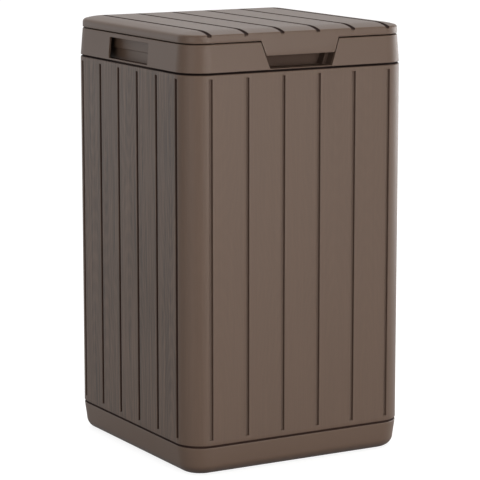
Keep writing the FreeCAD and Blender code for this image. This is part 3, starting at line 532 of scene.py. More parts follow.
def groove_shade_group():
    """Painted shade in the plank grooves inside a box of space, and in the two seam gaps where shade falls: a mask.
    """
    lengths = ("Pitch", "Half width", "Across both ways", "Floor share", "Groove shade", "Lower seam",
               "Upper seam", "Seam half width")
    group, given, out = new_group(
        "groove_shade", "ShaderNodeTree", [(label, "Vector") for label in ("Vector", "Low", "High")]
        + [(label, "Float") for label in lengths], [("Mask", "Float")])

    def number(*values):
        return maths(group, *values)

    place, low, high = (split(group, given[label]) for label in ("Vector", "Low", "High"))
    near = []
    for axis in "XY":
        cell = number("FRACT", number("DIVIDE", place[axis], given["Pitch"]))
        near.append(number("MULTIPLY", number("ABSOLUTE", number("SUBTRACT", cell, 0.5)), given["Pitch"]))
    far = number("SUBTRACT", 1.0, given["Across both ways"])
    reach = number("DIVIDE", number("MINIMUM", near[0], number("ADD", near[1], far)), given["Half width"])
    walls_only = put(group, "ShaderNodeMapRange",
                     {"Value": reach, "From Min": 0.45, "From Max": 0.75, "To Min": given["Floor share"],
                      "To Max": 1.0}, interpolation_type="SMOOTHSTEP")
    mask = number("MULTIPLY", number("LESS_THAN", reach, 1.08), walls_only.outputs["Result"])
    for axis in "XYZ":
        mask = number("MULTIPLY", mask, number("GREATER_THAN", place[axis], low[axis]))
        mask = number("MULTIPLY", mask, number("LESS_THAN", place[axis], high[axis]))
    mask = number("MULTIPLY", mask, given["Groove shade"])
    for seam in ("Lower seam", "Upper seam"):
        gap = number("ABSOLUTE", number("SUBTRACT", place["Z"], given[seam]))
        mask = number("MAXIMUM", mask, number("LESS_THAN", gap, given["Seam half width"]))
    group.links.new(mask, out["Mask"])
    return group


GROOVE_SHADE = groove_shade_group()
# Dark brown painted in as shade where light does not reach: groove walls and floors, and the seam gaps.
PAINTED_SHADE_COLOUR = (0.026, 0.010, 0.006, 1.0)
WALL_BOX = (-1, -1, GROOVE_FOOT * MM), (1, 1, GROOVE_HEAD * MM)
SEAM_SOFT = 0.8


def plank_resin_material(name, along_y=False, rings=0.0, contrast=0.0, relief=0.0, roughness=0.5,
                         groove_box=WALL_BOX, groove_half=GROOVE_REACH, painted_shade=0.85, floor_share=0.35,
                         upper_seam=RIM_SEAM, grain_span=None):
    """Resin with moulded grain and painted shade in its grooves and seam gaps. The grain fades in between the two
    heights of grain_span.
    """
    material = resin(name, BODY_COLOUR, roughness)
    tree = material.node_tree
    shader, skin, bump = (tree.nodes[label] for label in ("Principled BSDF", "Group", "Bump"))
    place = tree.nodes["Texture Coordinate"].outputs["Object"]
    source = place
    if along_y:
        source = put(tree, "ShaderNodeMapping", {"Vector": place, "Rotation": (math.pi / 2, 0, 0)}).outputs[0]
    grain = put(tree, "ShaderNodeGroup", {"Vector": source, "Plank": PITCH * MM, "Rings": rings},
                node_tree=WOOD_GROUP).outputs["Grain"]
    if grain_span:
        smooth_at, full_at = grain_span
        span = put(tree, "ShaderNodeMapRange", {"Value": split(tree, place)["Z"], "From Min": smooth_at * MM,
                                                "From Max": full_at * MM})
        grain = put(tree, "ShaderNodeMix", {"Factor": span.outputs["Result"], "A": 0.5, "B": grain},
                    data_type="FLOAT").outputs["Result"]
    lift = put(tree, "ShaderNodeMapRange", {"Value": grain, "From Min": 0.25, "From Max": 0.75,
                                            "To Min": 1.0 - contrast / 2, "To Max": 1.0 + contrast / 2})
    mask = put(tree, "ShaderNodeGroup", {
        "Vector": place, "Pitch": PITCH * MM, "Half width": groove_half * MM,
        "Across both ways": 0.0 if along_y else 1.0, "Floor share": floor_share, "Groove shade": painted_shade,
        "Low": groove_box[0], "High": groove_box[1], "Lower seam": BASE_SEAM * MM,
        "Upper seam": upper_seam * MM, "Seam half width": (SEAM_GAP / 2 + SEAM_SOFT) * MM},
        node_tree=GROOVE_SHADE).outputs["Mask"]
    tint = put(tree, "ShaderNodeVectorMath", {0: skin.outputs["Colour"], "Scale": lift.outputs["Result"]},
               operation="SCALE")
    # Painted shade: inside the mask the colour goes nearly all the way to the dark shade colour.
    shaded_tint = put(tree, "ShaderNodeMix", {"Factor": maths(tree, "MULTIPLY", mask, 0.97), "A": tint.outputs[0],
                                        "B": PAINTED_SHADE_COLOUR}, data_type="RGBA")
    dull = maths(tree, "MULTIPLY_ADD", mask, 0.45, skin.outputs["Roughness"], use_clamp=True)
    carve = put(tree, "ShaderNodeBump", {"Strength": relief, "Distance": 0.0006, "Height": grain,
                                         "Normal": bump.outputs["Normal"]})
    for output, socket in ((shaded_tint.outputs["Result"], "Base Color"), (dull, "Roughness"),
                           (carve.outputs["Normal"], "Normal")):
        tree.links.new(output, shader.inputs[socket])
    return material


# Painted shade on the base: the colour darkens towards the ground where the skirt rolls under. A thin dark contact
# shade is painted along the foot by setting the upper seam line 1 mm above the ground, and the seam gap at the top
# is painted dark too.
GROUND_SHADE_FULL, GROUND_SHADE_GONE, GROUND_SHADE_SHARE = 2.0, 17.0, 0.78
no_grooves = ((0, 0, 1), (0, 0, 0))
base_resin = plank_resin_material("base_brown_resin", groove_box=no_grooves, upper_seam=1.0)
tree = base_resin.node_tree
painted = tree.nodes["Principled BSDF"].inputs["Base Color"]
base_height = split(tree, tree.nodes["Texture Coordinate"].outputs["Object"])["Z"]
ground_shade = put(tree, "ShaderNodeMapRange", {"Value": base_height, "From Min": GROUND_SHADE_FULL * MM,
                                               "From Max": GROUND_SHADE_GONE * MM, "To Min": GROUND_SHADE_SHARE,
                                               "To Max": 0.0}, interpolation_type="SMOOTHSTEP")
ground_shaded = put(tree, "ShaderNodeMix", {"Factor": ground_shade.outputs["Result"], "A": painted.links[0].from_socket,
                                     "B": PAINTED_SHADE_COLOUR}, data_type="RGBA")
tree.links.new(ground_shaded.outputs["Result"], painted)
base_tray.data.materials.append(base_resin)
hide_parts("base_tray")
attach(base_tray, "box")
under_rim = (WALL_HEAD + 0.2, WALL_HEAD - 0.2)
# Front and back walls: faint grain, with painted shade in the grooves and along the seam gaps.
plank_resin = plank_resin_material("plank_brown_resin", rings=0.6, contrast=0.12, relief=0.2, painted_shade=0.66,
                                   grain_span=under_rim)
# Side walls: the walls' own wood grain, but painted with far stronger streaks than on the front as painted sheen and
# shade from grazing light; painted shade in the grooves and seam gaps too.
side_plank_grain_and_sheen = plank_resin_material("side_plank_grain_and_sheen_resin", rings=0.34, contrast=1.2, relief=1.0,
                                        grain_span=under_rim)
seam_places = groove_columns(SEAM + FIT / 2, 200.0)
corner = [place for place in corner_places() if place > SEAM + 8]
NOTCH_ROOM = 80.0


def end_path(first, middle, last):
    """Path of a wall that wraps two corners: down one side face, along the middle, up the other."""
    start = [(first, place) for place in [SEAM + FIT / 2] + seam_places + corner[:-1]]
    across = sorted([-place for place in corner] + groove_columns(-200, 200) + corner
                    + [-NOTCH_ROOM - 0.02, -NOTCH_ROOM + 0.02, NOTCH_ROOM - 0.02, NOTCH_ROOM + 0.02])
    finish = [(last, -place) for place in reversed([SEAM + FIT / 2] + seam_places + corner[:-1])]
    return start + [(middle, place) for place in across] + finish


def under_pocket(face, along):
    return face == "front" and abs(along) < NOTCH_ROOM


walls = {
    "front_panel": (end_path("left", "front", "right"), [(-1, -1, -1), (1, -1, -1)], under_pocket),
    "back_panel": (end_path("right", "back", "left"), [(-1, 1, 1), (1, 1, 1)], None)}
for face, x_sign in (("left", -1), ("right", 1)):
    edge = SEAM - FIT / 2
    path = [(face, place) for place in [-edge] + groove_columns(-edge, edge) + [edge]]
    walls[face + "_panel"] = (path, [(x_sign, -1, 1), (x_sign, 1, -1)], None)
for node, (path, flanges, lowered) in walls.items():
    mesh = wall_piece(path, lowered)
    tidy(mesh)
    for flange in flanges:
        add_solid(mesh, seam_flange(*flange))
    wall = as_object(node + "_shell", mesh)
    wall.data.materials.append(side_plank_grain_and_sheen if node in ("left_panel", "right_panel") else plank_resin)
    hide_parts(node)
    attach(wall, "box")

# ---------------------------------------------------------------------------------------------
# Joint strips. Plain extruded channels in darker resin that slide down over the walls' edge
# flanges from inside and lock each seam. Their shape is the frame's, they only get their finish.
# ---------------------------------------------------------------------------------------------
inner_resin = resin("inner_brown_resin", linear(72, 59, 52), roughness=0.58, mottle=0.16, bump=0.2)


def set_material(data, material):
    """Makes the material the mesh's only one."""
    data.materials.clear()
    data.materials.append(material)


for end in ("front", "back"):
    for side in ("left", "right"):
        set_material(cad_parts["%s_%s_joint_strip" % (end, side)].data, inner_resin)

# ---------------------------------------------------------------------------------------------
# Rim. One smooth moulding that caps the walls: its face leans in by 4 mm, its flanges hang beside
# the walls' tongues, and it has a hand grip in each side, a finger pocket in front, and knuckles
# and lid stops at the rear. It is screwed to the tongues from inside.
# ---------------------------------------------------------------------------------------------
RIM_LEAN = 4.0
NOTCH_TOP_HALF, NOTCH_FOOT_HALF, NOTCH_FOOT = 76.0, 60.0, RIM_SEAM + 3.3
POCKET_STEP, POCKET_DEEP = 20.0, 38.0
GRIP_HALF, GRIP_LOW, GRIP_HIGH = 71.5, RIM_SEAM + 4.5, RIM_SEAM + 40.6
HINGE_Y = HALF - RIM_LEAN - 4.0
HINGE_Z = RIM_TOP + 8.0
KNUCKLE, KNUCKLE_LONG = 4.0, 12.0
HINGE_X = 130.0
STOP_X = HINGE_X - 39.0
RIM_LIP, RIM_LIP_DROP, RIM_SLOT, RIM_SLOT_DROP = 27.6, 20.0, 21.0, 27.0
rim_foot = RIM_SEAM + SEAM_GAP / 2


def lean(height):
    return RIM_LEAN * (height - RIM_SEAM) / (RIM_TOP - RIM_SEAM)


def notch_half(height):
    """Half width of the finger notch at a height."""
    slope = (NOTCH_TOP_HALF - NOTCH_FOOT_HALF) / (RIM_TOP - NOTCH_FOOT)
    return NOTCH_FOOT_HALF + slope * (height - NOTCH_FOOT)


def modifier(piece, kind, **settings):
    added = piece.modifiers.new(kind.lower(), kind)
    for name, setting in settings.items():
        setattr(added, name, setting)


def cut_or_join(piece, solids, operation):
    """Booleans each bmesh solid with the piece and leaves plain mesh."""
    helpers = []
    for solid in solids:
        helper = as_object("helper", solid)
        helper.hide_render = True
        helpers.append(helper)
        modifier(piece, "BOOLEAN", object=helper, operation=operation, solver="EXACT")
    settle(piece)
    for helper in helpers:
        bpy.data.objects.remove(helper)


def trapezoid(gap, low, high, y_low, y_high):
    """Block whose section is the finger notch's, widened by a gap, between two heights and depths."""
    ends = []
    for height in (low, high):
        half, near = notch_half(height) + gap, y_low(height)
        ends.append([(-half, near, height), (half, near, height), (half, y_high, height), (-half, y_high, height)])
    return block(ends)


rim_profile = rounded(
    [(lean(rim_foot), rim_foot), (RIM_LEAN, RIM_TOP), (RIM_LIP, RIM_TOP), (RIM_LIP, RIM_TOP - RIM_LIP_DROP),
     (RIM_LIP - WALL, RIM_TOP - RIM_LIP_DROP), (RIM_LIP - WALL, TONGUE_TOP), (RIM_SLOT, TONGUE_TOP),
     (RIM_SLOT, RIM_TOP - RIM_SLOT_DROP), (RIM_SLOT - WALL, RIM_TOP - RIM_SLOT_DROP), (RIM_SLOT - WALL, TONGUE_TOP),
     (RIM_LEAN + SKIRT, TONGUE_TOP), (lean(rim_foot) + SKIRT, rim_foot)],
    [0.9, 1.8, 1.2, 1.0, 1.0, 0, 0, 1.0, 1.0, 0, 0, 0.8], 4)
rim = bmesh.new()
swept(rim, full_outline(), rim_profile)
tidy(rim)
rim_piece = as_object("rim_shell", rim)
pocket_shell = trapezoid(WALL, NOTCH_FOOT - WALL, RIM_TOP - 0.01, lambda height: -HALF + lean(height) + 1.5,
                         -HALF + POCKET_DEEP + WALL)
cut_or_join(rim_piece, [pocket_shell], "UNION")
grip = rounded([(-GRIP_HALF, GRIP_LOW), (GRIP_HALF, GRIP_LOW), (GRIP_HALF, GRIP_HIGH), (-GRIP_HALF, GRIP_HIGH)],
               [2.5] * 4, 5)
cut_or_join(rim_piece, [
    trapezoid(0.0, NOTCH_FOOT, RIM_TOP + 5, lambda height: -HALF - 5, -HALF + POCKET_STEP + 2),
    trapezoid(-7.0, NOTCH_FOOT, RIM_TOP + 5, lambda height: -HALF + POCKET_STEP, -HALF + POCKET_DEEP),
    prism(grip, -HALF - 8, -HALF + 11, "x"), prism(grip, HALF - 11, HALF + 8, "x")], "DIFFERENCE")
modifier(rim_piece, "BEVEL", width=0.7 * MM, segments=2, limit_method="ANGLE", angle_limit=math.radians(50),
         use_clamp_overlap=False)
settle(rim_piece)
for point in rim_piece.data.vertices:
    point.co.y = max(point.co.y, (lean(point.co.z / MM) - HALF) * MM)
rim_extras = bmesh.new()
rim_extras.from_mesh(rim_piece.data)


def knuckle_profile(up, inner, outer):
    """Knuckle section in Y and Z: a round eye on a web that ends at two heights from the hinge axis."""
    eye = [(HINGE_Y + KNUCKLE * math.cos(math.radians(a)), HINGE_Z + KNUCKLE * math.sin(math.radians(a)) * up)
           for a in range(-30, 181, 14)]
    return eye + [(HINGE_Y - KNUCKLE, HINGE_Z + inner), (HINGE_Y + KNUCKLE - 0.6, HINGE_Z + outer)]


for sign in (-1, 1):
    for start in (HINGE_X - 27.5, HINGE_X + 15.5):
        ends = sorted((sign * start, sign * (start + KNUCKLE_LONG)))
        add_solid(rim_extras, prism(knuckle_profile(1, -8.5, -8.5), *ends, axis="x", round_edges=0.4))
    stop_near, stop_far, stop_top = HALF - RIM_LEAN - 3.5, HALF - RIM_LEAN - 0.3, RIM_TOP + 2.6
    stop = [(stop_near, RIM_TOP - 1), (stop_far, RIM_TOP - 1), (stop_far, stop_top), (stop_near, stop_top)]
    add_solid(rim_extras, prism(stop, sign * STOP_X - 6, sign * STOP_X + 6, axis="x", round_edges=0.4))
rim_extras.to_mesh(rim_piece.data)
rim_extras.free()
rim_piece.data.shade_smooth()
rim_piece.data.set_sharp_from_angle(angle=math.radians(35))
modifier(rim_piece, "WEIGHTED_NORMAL", keep_sharp=True)
settle(rim_piece)
# Painted shade inside the finger pocket under the lid's tab, and along the rim's foot at the seam gap.
pocket_shade_box = ((-NOTCH_ROOM * MM, (6.5 - HALF) * MM, (NOTCH_FOOT + 0.6) * MM),
              (NOTCH_ROOM * MM, -170 * MM, (RIM_TOP - 3.3) * MM))
set_material(rim_piece.data, plank_resin_material("rim_brown_resin", groove_box=pocket_shade_box, groove_half=1000.0,
                                                  floor_share=1.0, painted_shade=0.6))
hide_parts("rim_frame")
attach(rim_piece, "box")

# ---------------------------------------------------------------------------------------------
# Lid. One moulding with a crown that rolls over to a short upright edge, crisp in front and softer
# on the other sides, grooves in line with the front wall's, a pull tab that fills the rim's notch,
# and knuckles at the rear. It hangs on two steel pins.
# ---------------------------------------------------------------------------------------------
LID_HALF = HALF - RIM_LEAN
LID_CORNER = CORNER - RIM_LEAN
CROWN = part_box("lid_shell")[1][2] / MM
CROWN_INSET, CROWN_DROP = 38.0, 5.9
LID_EDGE = CROWN - CROWN_DROP
LID_FOOT = RIM_TOP + 1.8
TAB_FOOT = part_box("lid_shell")[0][2] / MM
LID_GROOVE = 3.1
LAST_COLUMN = SEAM + GROOVE_REACH + 1.0
ARC = (CROWN_INSET ** 2 + CROWN_DROP ** 2) / (2 * CROWN_DROP)
FRONT_EDGE_ROUND, SIDE_EDGE_ROUND = 2.4, 5.5
GROOVE_REAR = 30.0
TAB_GAP = 1.3
EDGE_BAND = 5.6
LID_SHADE_SPREAD = 1.3
TAB_LOW, TAB_HIGH = notch_half(TAB_FOOT) - TAB_GAP, notch_half(LID_FOOT) - TAB_GAP
TAB_OUTLINE = [(0.0, TAB_FOOT), (TAB_LOW - 2.4, TAB_FOOT), (TAB_LOW - 1.0, TAB_FOOT + 0.4),
               (TAB_LOW + 0.4, TAB_FOOT + 1.8), (TAB_HIGH - 0.4, LID_FOOT - 0.4), (TAB_HIGH, LID_FOOT)]


def crown_height(inset):
    """Lid height at a distance in from its outline."""
    inset = min(max(inset, 0.0), CROWN_INSET)
    return CROWN - (ARC - math.sqrt(ARC ** 2 - (CROWN_INSET - inset) ** 2))


def lid_foot(kind, across):
    """Lower edge of the lid's side: lower where the tab hangs."""
    if kind == "front":
        for (a, low), (b, high) in zip(TAB_OUTLINE, TAB_OUTLINE[1:]):
            if abs(across) <= b:
                return low + (high - low) * (abs(across) - a) / (b - a)
    return LID_FOOT


def lid_stations():
    """Stations round the lid: (kind, x or y or corner share, x sign, y sign)."""
    tab_columns = [x for x, _ in TAB_OUTLINE[1:]] + [TAB_LOW + (TAB_HIGH - TAB_LOW) * part for part in (0.35, 0.7)]
    columns = sorted(set([-LAST_COLUMN, LAST_COLUMN]
                         + groove_columns(-LAST_COLUMN, LAST_COLUMN)
                         + tab_columns + [-x for x in tab_columns]))
    sides = [-STRAIGHT + 2 * STRAIGHT * step / 16 for step in range(17)]
    fan = [step / CORNER_STEPS for step in range(1, CORNER_STEPS)]
    path = [("front", x, 0, -1) for x in columns]
    path += [("fan", f, 1, -1) for f in fan] + [("right", y, 1, 0) for y in sides]
    path += [("fan", 1 - f, 1, 1) for f in fan] + [("back", -x, 0, 1) for x in columns]
    path += [("fan", f, -1, 1) for f in fan] + [("left", -y, -1, 0) for y in sides]
    path += [("fan", 1 - f, -1, -1) for f in fan]
    return path, columns, sides


def plan_place(spot, inset, half, radius):
    """Plan position of a lid station at an inset from an outline of the given size."""
    kind, place, x_sign, y_sign = spot
    centre, left = half - radius, radius - inset
    if kind in ("front", "back"):
        over = max(abs(place) - centre, 0.0)
        return place, y_sign * (centre + math.sqrt(max(left ** 2 - over ** 2, 0.0)))
    if kind in ("left", "right"):
        return x_sign * (half - inset), place
    first = math.asin(min(1.0, (LAST_COLUMN - centre) / left))
    turn = first + place * (math.pi / 2 - first)
    return x_sign * (centre + left * math.sin(turn)), y_sign * (centre + left * math.cos(turn))


def edge_round(spot):
    """Radius of the lid's upper edge: crisp in front, growing round the front corners."""
    kind, place, _, y_sign = spot
    if kind == "front":
        return FRONT_EDGE_ROUND
    if kind == "fan" and y_sign < 0:
        return FRONT_EDGE_ROUND + (SIDE_EDGE_ROUND - FRONT_EDGE_ROUND) * place
    return SIDE_EDGE_ROUND


def lid_rows():
    """Row kinds from the lid's lower edge to the inner end of its crown."""
    rows = [("foot", 0.8, 0.0), ("foot", 0.22, 0.22), ("foot", 0.0, 0.8), ("side", 0.5, 0.0)]
    rows += [("wall", drop, fade) for drop, fade in ((4.4, 0.0), (4.1, 0.1), (3.6, 0.5), (3.1, 0.9), (2.6, 1.0))]
    rows += [("bend", step / 5, 1.0) for step in range(6)]
    ends = [GROOVE_REAR + d for d, _ in GROOVE_EDGE]
    last = LID_CORNER - (LAST_COLUMN - STRAIGHT)
    rows += [("crown", inset, 1.0) for inset in [9.5, 12, 15, 18, 21, 24, 27] + ends[:-1] + [31.8, last]]
    return rows


def lid_surface(mesh, inner):
    """One side of the lid's shell, outer or inner, as rings round it and a grid in the middle: its lowest ring."""
    half, radius = (LID_HALF - WALL, LID_CORNER - WALL) if inner else (LID_HALF, LID_CORNER)
    last_outer = LID_CORNER - (LAST_COLUMN - STRAIGHT)
    last = radius - (LAST_COLUMN - (half - radius))
    path, columns, sides = lid_stations()
    rings = []
    for kind, first, second in lid_rows():
        ring = []
        for spot in path:
            foot = lid_foot(spot[0], spot[1])
            bend_round = edge_round(spot)
            inset, down, inward, depth_share = 0.0, 0.0, 0.0, 0.0
            if kind == "foot":
                inset, height = (-first * 0.5 if inner else first), foot + second
            elif kind == "side":
                height = foot + 0.8 + (LID_EDGE - EDGE_BAND - foot - 0.8) * first
            elif kind == "wall":
                height = LID_EDGE - (WALL + first if inner else max(first, bend_round))
                depth_share, inward = second, 1.0
            elif kind == "bend":
                t = first
                inset = bend_round * t * t
                height = ((1 - t) ** 2 * (LID_EDGE - bend_round) + 2 * t * (1 - t) * LID_EDGE
                          + t * t * crown_height(bend_round))
                depth_share, down, inward = 1.0, t, 1 - t
            else:
                inset = first
                height = crown_height(inset)
                depth_share, down = 1.0, 1.0
            if inner and kind in ("bend", "crown"):
                inset = inset * last / last_outer
                height = (crown_height(inset + WALL) if kind == "crown" else height) - WALL
            x, y = plan_place(spot, inset, half, radius)
            if height < RIM_TOP:
                y += math.copysign(RIM_LEAN - lean(height), y)
            if spot[0] == "front" or (spot[0] == "back" and kind == "crown"):
                if spot[0] == "back":
                    depth_share = share(first - GROOVE_REAR)
                deep = LID_GROOVE * depth_share * groove_share(spot[1])
                if inner and kind in ("wall", "bend"):
                    deep = 0.0
                height -= deep * down
                y += deep * inward * (1 if spot[0] == "front" else -1)
            ring.append(mesh.verts.new(Vector((x, y, height)) * MM))
        rings.append(ring)
    for lower, upper in zip(rings, rings[1:]):
        bridge(mesh, lower, upper)
    grid = []
    for x in columns:
        line = []
        ends = [plan_place(("front", x, 0, -1), last, half, radius)[1],
                plan_place(("back", x, 0, 1), last, half, radius)[1]]
        for y in [ends[0]] + sides + [ends[1]]:
            height = crown_height(LID_HALF - max(abs(x), abs(y))) - (WALL if inner else 0.0)
            height -= LID_GROOVE * groove_share(x)
            line.append(mesh.verts.new(Vector((x, y, height)) * MM))
        grid.append(line)
    for first, second in zip(grid, grid[1:]):
        bridge(mesh, first, second, closed=False)
    return rings[0]


lid = bmesh.new()
bridge(lid, lid_surface(lid, False), lid_surface(lid, True))
tidy(lid, 0.01)
lid_piece = as_object("lid_crown", lid)


def rear_block(depth, top):
    """Section of a room cut into the lid's rear edge from below."""
    near, far, low = LID_HALF - depth, LID_HALF + 2, LID_FOOT - 2
    return [(near, low), (far, low), (far, top), (near, top)]


rooms = []
for sign in (-1, 1):
    for start, room in ((HINGE_X - 28.0, 13.0), (HINGE_X + 15.0, 15.0)):
        ends = sorted((sign * start, sign * (start + room)))
        rooms.append(prism(rear_block(9, HINGE_Z + 6), *ends, axis="x"))
    rooms.append(prism(rear_block(6, LID_FOOT + 3.1), sign * STOP_X - 7, sign * STOP_X + 7, axis="x"))
cut_or_join(lid_piece, rooms, "DIFFERENCE")
lid_extras = bmesh.new()
lid_extras.from_mesh(lid_piece.data)
WELD_SPAN, WELD_GAP = 9.0, 0.12
corner_low, corner_high = STRAIGHT * MM, (STRAIGHT + WELD_SPAN) * MM
inner_corners = [vertex for vertex in lid_extras.verts
                 if corner_low < abs(vertex.co.x) < corner_high and corner_low < abs(vertex.co.y) < corner_high]
bmesh.ops.remove_doubles(lid_extras, verts=inner_corners, dist=WELD_GAP * MM)
for sign in (-1, 1):
    ends = sorted((sign * (HINGE_X - 15.0), sign * (HINGE_X + 15.0)))
    add_solid(lid_extras, prism(knuckle_profile(-1, 6.4, 1.5), *ends, axis="x", round_edges=0.4))
BOSS_PLACE, BOSS_RADIUS = 140.0, 5.0
for x_sign in (-1, 0, 1):
    for y_sign in (-1, 0, 1):
        ring = [(x_sign * BOSS_PLACE + BOSS_RADIUS * math.cos(a * math.tau / 20),
                 y_sign * BOSS_PLACE + BOSS_RADIUS * math.sin(a * math.tau / 20)) for a in range(20)]
        add_solid(lid_extras, prism(ring, RIM_TOP - 2.7, CROWN - 1.5))
lid_extras.to_mesh(lid_piece.data)
lid_extras.free()
lid_piece.data.shade_smooth()
lid_piece.data.set_sharp_from_angle(angle=math.radians(35))
# Painted shade in the lid's grooves, spread a little wider than the grooves themselves.
lid_groove_shade_box = ((-1, (0.3 - LID_HALF) * MM, (LID_EDGE - 2.6) * MM), (1, 177.0 * MM, 1))
set_material(lid_piece.data, plank_resin_material(
    "lid_brown_resin", along_y=True, rings=0.3, contrast=0.3, relief=0.8, roughness=0.46,
    groove_box=lid_groove_shade_box, groove_half=GROOVE_REACH * LID_SHADE_SPREAD, painted_shade=1.0, floor_share=1.0,
    grain_span=(LID_EDGE + 1.5, LID_EDGE + 3.5)))
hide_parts("lid_shell")
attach(lid_piece, "lid")

# ---------------------------------------------------------------------------------------------
# Lid liner and hinge pins. The liner is a dished inner panel in darker resin, screwed up into the
# lid's bosses. The pins are headed steel rods through the knuckles. Both keep the frame's shape.
# ---------------------------------------------------------------------------------------------
plated_steel = skinned("plated_steel", {"Metallic": 1.0}, (0.56, 0.56, 0.57, 1.0), 0.3, 0.34)
set_material(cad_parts["lid_liner"].data, inner_resin)
for node in ("left_hinge_pin", "right_hinge_pin"):
    set_material(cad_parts[node].data, plated_steel)

# ---------------------------------------------------------------------------------------------
# Screws. Identical plated self-tapping screws with domed cross-recess heads: two a side through the
# base upstand, two a side through the rim's lip, and nine up through the lid liner.
# ---------------------------------------------------------------------------------------------
HEAD_RADIUS, HEAD_HIGH, SHANK_RADIUS, SHANK_LONG = 4.0, 2.4, 2.0, 6.0


def screw_shape():
    """One screw: head below the plane and shank above it."""
    outline = rounded([(0, -HEAD_HIGH), (HEAD_RADIUS, -HEAD_HIGH), (HEAD_RADIUS, 0), (SHANK_RADIUS, 0),
                       (SHANK_RADIUS, SHANK_LONG - 1), (0.6, SHANK_LONG), (0, SHANK_LONG)],
                      [0, 1.5, 0.2, 0, 0, 0, 0], 3, closed=False)
    sides = 24
    mesh = bmesh.new()
    turns = [math.tau * a / sides for a in range(sides)]
    rings = [[mesh.verts.new(Vector((radius * math.cos(turn), radius * math.sin(turn), height)) * MM)
              for turn in turns] for radius, height in outline]
    for lower, upper in zip(rings, rings[1:]):
        bridge(mesh, lower, upper)
    tidy(mesh)
    shape = as_object("screw_shape", mesh)
    arms = [[(-a, -b), (a, -b), (a, b), (-a, b)] for a, b in ((2.2, 0.5), (0.5, 2.2))]
    cut_or_join(shape, [prism(arm, -HEAD_HIGH - 1, -HEAD_HIGH * 0.4) for arm in arms], "DIFFERENCE")
    return shape


def screws_tree():
    """Puts a screw on every point, turned so that its shank follows the point's direction."""
    tree, given, out = new_group(
        "screws_on_points", "GeometryNodeTree",
        [("Geometry", "Geometry"), ("Screw", "Object"), ("Scale", "Float"), ("Material", "Material")],
        [("Geometry", "Geometry")])
    shape = put(tree, "GeometryNodeObjectInfo", {"Object": given["Screw"]})
    direction = put(tree, "GeometryNodeInputNamedAttribute", {"Name": "direction"}, data_type="FLOAT_VECTOR")
    turn = put(tree, "FunctionNodeAlignRotationToVector", {"Vector": direction.outputs["Attribute"]}, axis="Z")
    spread = put(tree, "GeometryNodeInstanceOnPoints",
                 {"Points": given["Geometry"], "Instance": shape.outputs["Geometry"],
                  "Rotation": turn.outputs["Rotation"], "Scale": given["Scale"]})
    real = put(tree, "GeometryNodeRealizeInstances", {0: spread.outputs[0]})
    return end_painted(tree, real.outputs[0], given, out)


def wall_screw_points(inset, height):
    """Two points a side on an inner face, with the direction that the shank takes."""
    points = []
    for sign in (-1, 1):
        for side in (-1, 1):
            points.append(((side * (HALF - inset), sign * HINGE_X, height), (side, 0, 0)))
            points.append(((sign * HINGE_X, side * (HALF - inset), height), (0, side, 0)))
    return points


one_screw = screw_shape()
screw_tree = screws_tree()
liner_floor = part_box("lid_liner")[0][2] / MM
screw_sets = {
    "base_screws": ("box", wall_screw_points(upstand_out + WALL, BASE_SEAM - 5.0)),
    "rim_screws": ("box", wall_screw_points(RIM_LIP, RIM_TOP - 13.0)),
    "lid_screws": ("lid", [((x * BOSS_PLACE, y * BOSS_PLACE, liner_floor), (0, 0, 1))
                           for x in (-1, 0, 1) for y in (-1, 0, 1)])}
for node, (body, points) in screw_sets.items():
    data = bpy.data.meshes.new(node)
    data.from_pydata([Vector(point) * MM for point, _ in points], [], [])
    directions = data.attributes.new("direction", "FLOAT_VECTOR", "POINT")
    for number, (_, direction) in enumerate(points):
        directions.data[number].vector = direction
    screws = grow(node + "_set", screw_tree, {"Screw": one_screw, "Scale": 1.0, "Material": plated_steel}, data)
    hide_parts(node)
    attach(screws, body)
bpy.data.objects.remove(one_screw)

# ---------------------------------------------------------------------------------------------
# Stage: a plain white floor, soft studio light and the camera. The studio is bright behind the box and
# dimmer on the near side. One light hangs overhead, a large warm key stands low in front, a faint cool one
# behind on the left, a fill on the left and a wide strip on the right. The floor also shines in reflections.
# ---------------------------------------------------------------------------------------------
YAW, PITCH_DOWN, DISTANCE, LENS = 29.79, 10.06, 4.19, 178.3
AIM_RIGHT, AIM_HEIGHT = 0.0044, 0.475
FLOOR_SHINE = 0.46
yaw, down = math.radians(YAW), math.radians(PITCH_DOWN)
away = Vector((-math.sin(yaw) * math.cos(down), -math.cos(yaw) * math.cos(down), math.sin(down)))
across = Vector((math.cos(yaw), -math.sin(yaw), 0))
box_height = cad_bounds[1][2] - cad_bounds[0][2]
middle = Vector((0, 0, box_height * AIM_HEIGHT))

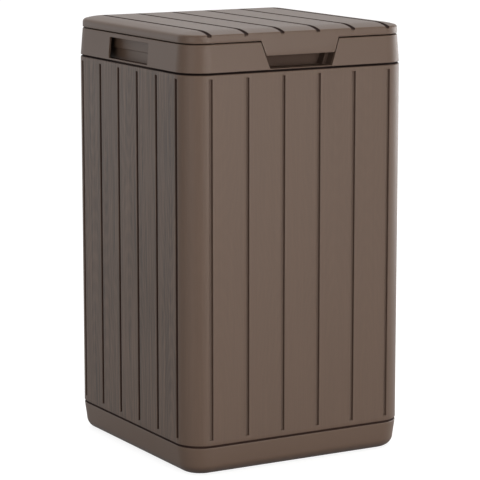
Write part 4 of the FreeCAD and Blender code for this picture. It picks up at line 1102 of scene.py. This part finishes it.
floor_mesh = bmesh.new()
bmesh.ops.create_grid(floor_mesh, x_segments=1, y_segments=1, size=30.0)
floor = as_object("floor", floor_mesh)
pale = bpy.data.materials.new("white_floor")
pale.use_nodes = True
tree = pale.node_tree
matt = tree.nodes["Principled BSDF"]
for socket, value in (("Base Color", (0.3, 0.3, 0.3, 1)), ("Roughness", 0.9), ("Specular IOR Level", 0.0)):
    matt.inputs[socket].default_value = value
seen = put(tree, "ShaderNodeLightPath").outputs
glow = maths(tree, "MULTIPLY_ADD", seen["Is Glossy Ray"], FLOOR_SHINE, seen["Is Camera Ray"])
lamp = put(tree, "ShaderNodeEmission", {"Color": (0.85, 0.85, 0.85, 1), "Strength": glow})
both = put(tree, "ShaderNodeAddShader", {0: matt.outputs[0], 1: lamp.outputs[0]})
tree.links.new(both.outputs[0], tree.nodes["Material Output"].inputs["Surface"])
floor.data.materials.append(pale)

world = bpy.data.worlds.new("studio")
bpy.context.scene.world = world
world.use_nodes = True
tree = world.node_tree
direction = put(tree, "ShaderNodeTexCoord").outputs["Generated"]
facing = put(tree, "ShaderNodeVectorMath", {0: direction, 1: (-away.x, -away.y, 0.35)}, operation="DOT_PRODUCT")
fade = put(tree, "ShaderNodeMapRange", {"Value": facing.outputs["Value"], "From Min": -0.2, "From Max": 0.85,
                                        "To Min": 0.42, "To Max": 1.02}, interpolation_type="SMOOTHSTEP")
tree.links.new(fade.outputs["Result"], tree.nodes["Background"].inputs["Strength"])
tree.nodes["Background"].inputs["Color"].default_value = (1, 1, 1, 1)


def soft_light(name, place, target, size, power, colour=(1, 1, 1)):
    data = bpy.data.lights.new(name, "AREA")
    data.shape = "RECTANGLE"
    data.size, data.size_y = size
    data.energy = power
    data.color = colour
    light = bpy.data.objects.new(name, data)
    bpy.context.scene.collection.objects.link(light)
    light.location = place
    light.rotation_euler = (Vector(target) - Vector(place)).to_track_quat("-Z", "Y").to_euler()


soft_light("overhead", (0.2, 0.6, 3.0), (0, 0, box_height), (2.4, 2.4), 26)
soft_light("key", (0.6, -3.8, 0.45), middle, (2.4, 2.2), 114, (1.0, 0.96, 0.93))
soft_light("back_left", (-1.9, 3.1, 0.5), middle, (2.2, 1.0), 7, (0.86, 0.93, 1.0))
soft_light("left_fill", (-3.0, -1.6, 0.6), middle, (1.8, 2.0), 28, (0.99, 0.99, 1.0))
soft_light("right_strip", (2.9, 0.2, 0.5), middle, (2.6, 1.0), 38)

camera_data = bpy.data.cameras.new("camera")
camera_data.sensor_width = 36.0
camera_data.lens = LENS
camera_data.clip_end = 100.0
camera = bpy.data.objects.new("camera", camera_data)
bpy.context.scene.collection.objects.link(camera)
camera.location = middle + away * DISTANCE + across * AIM_RIGHT
camera.rotation_euler = (-away).to_track_quat("-Z", "Y").to_euler()
bpy.context.scene.camera = camera
bpy.context.scene.view_settings.view_transform = "Standard"
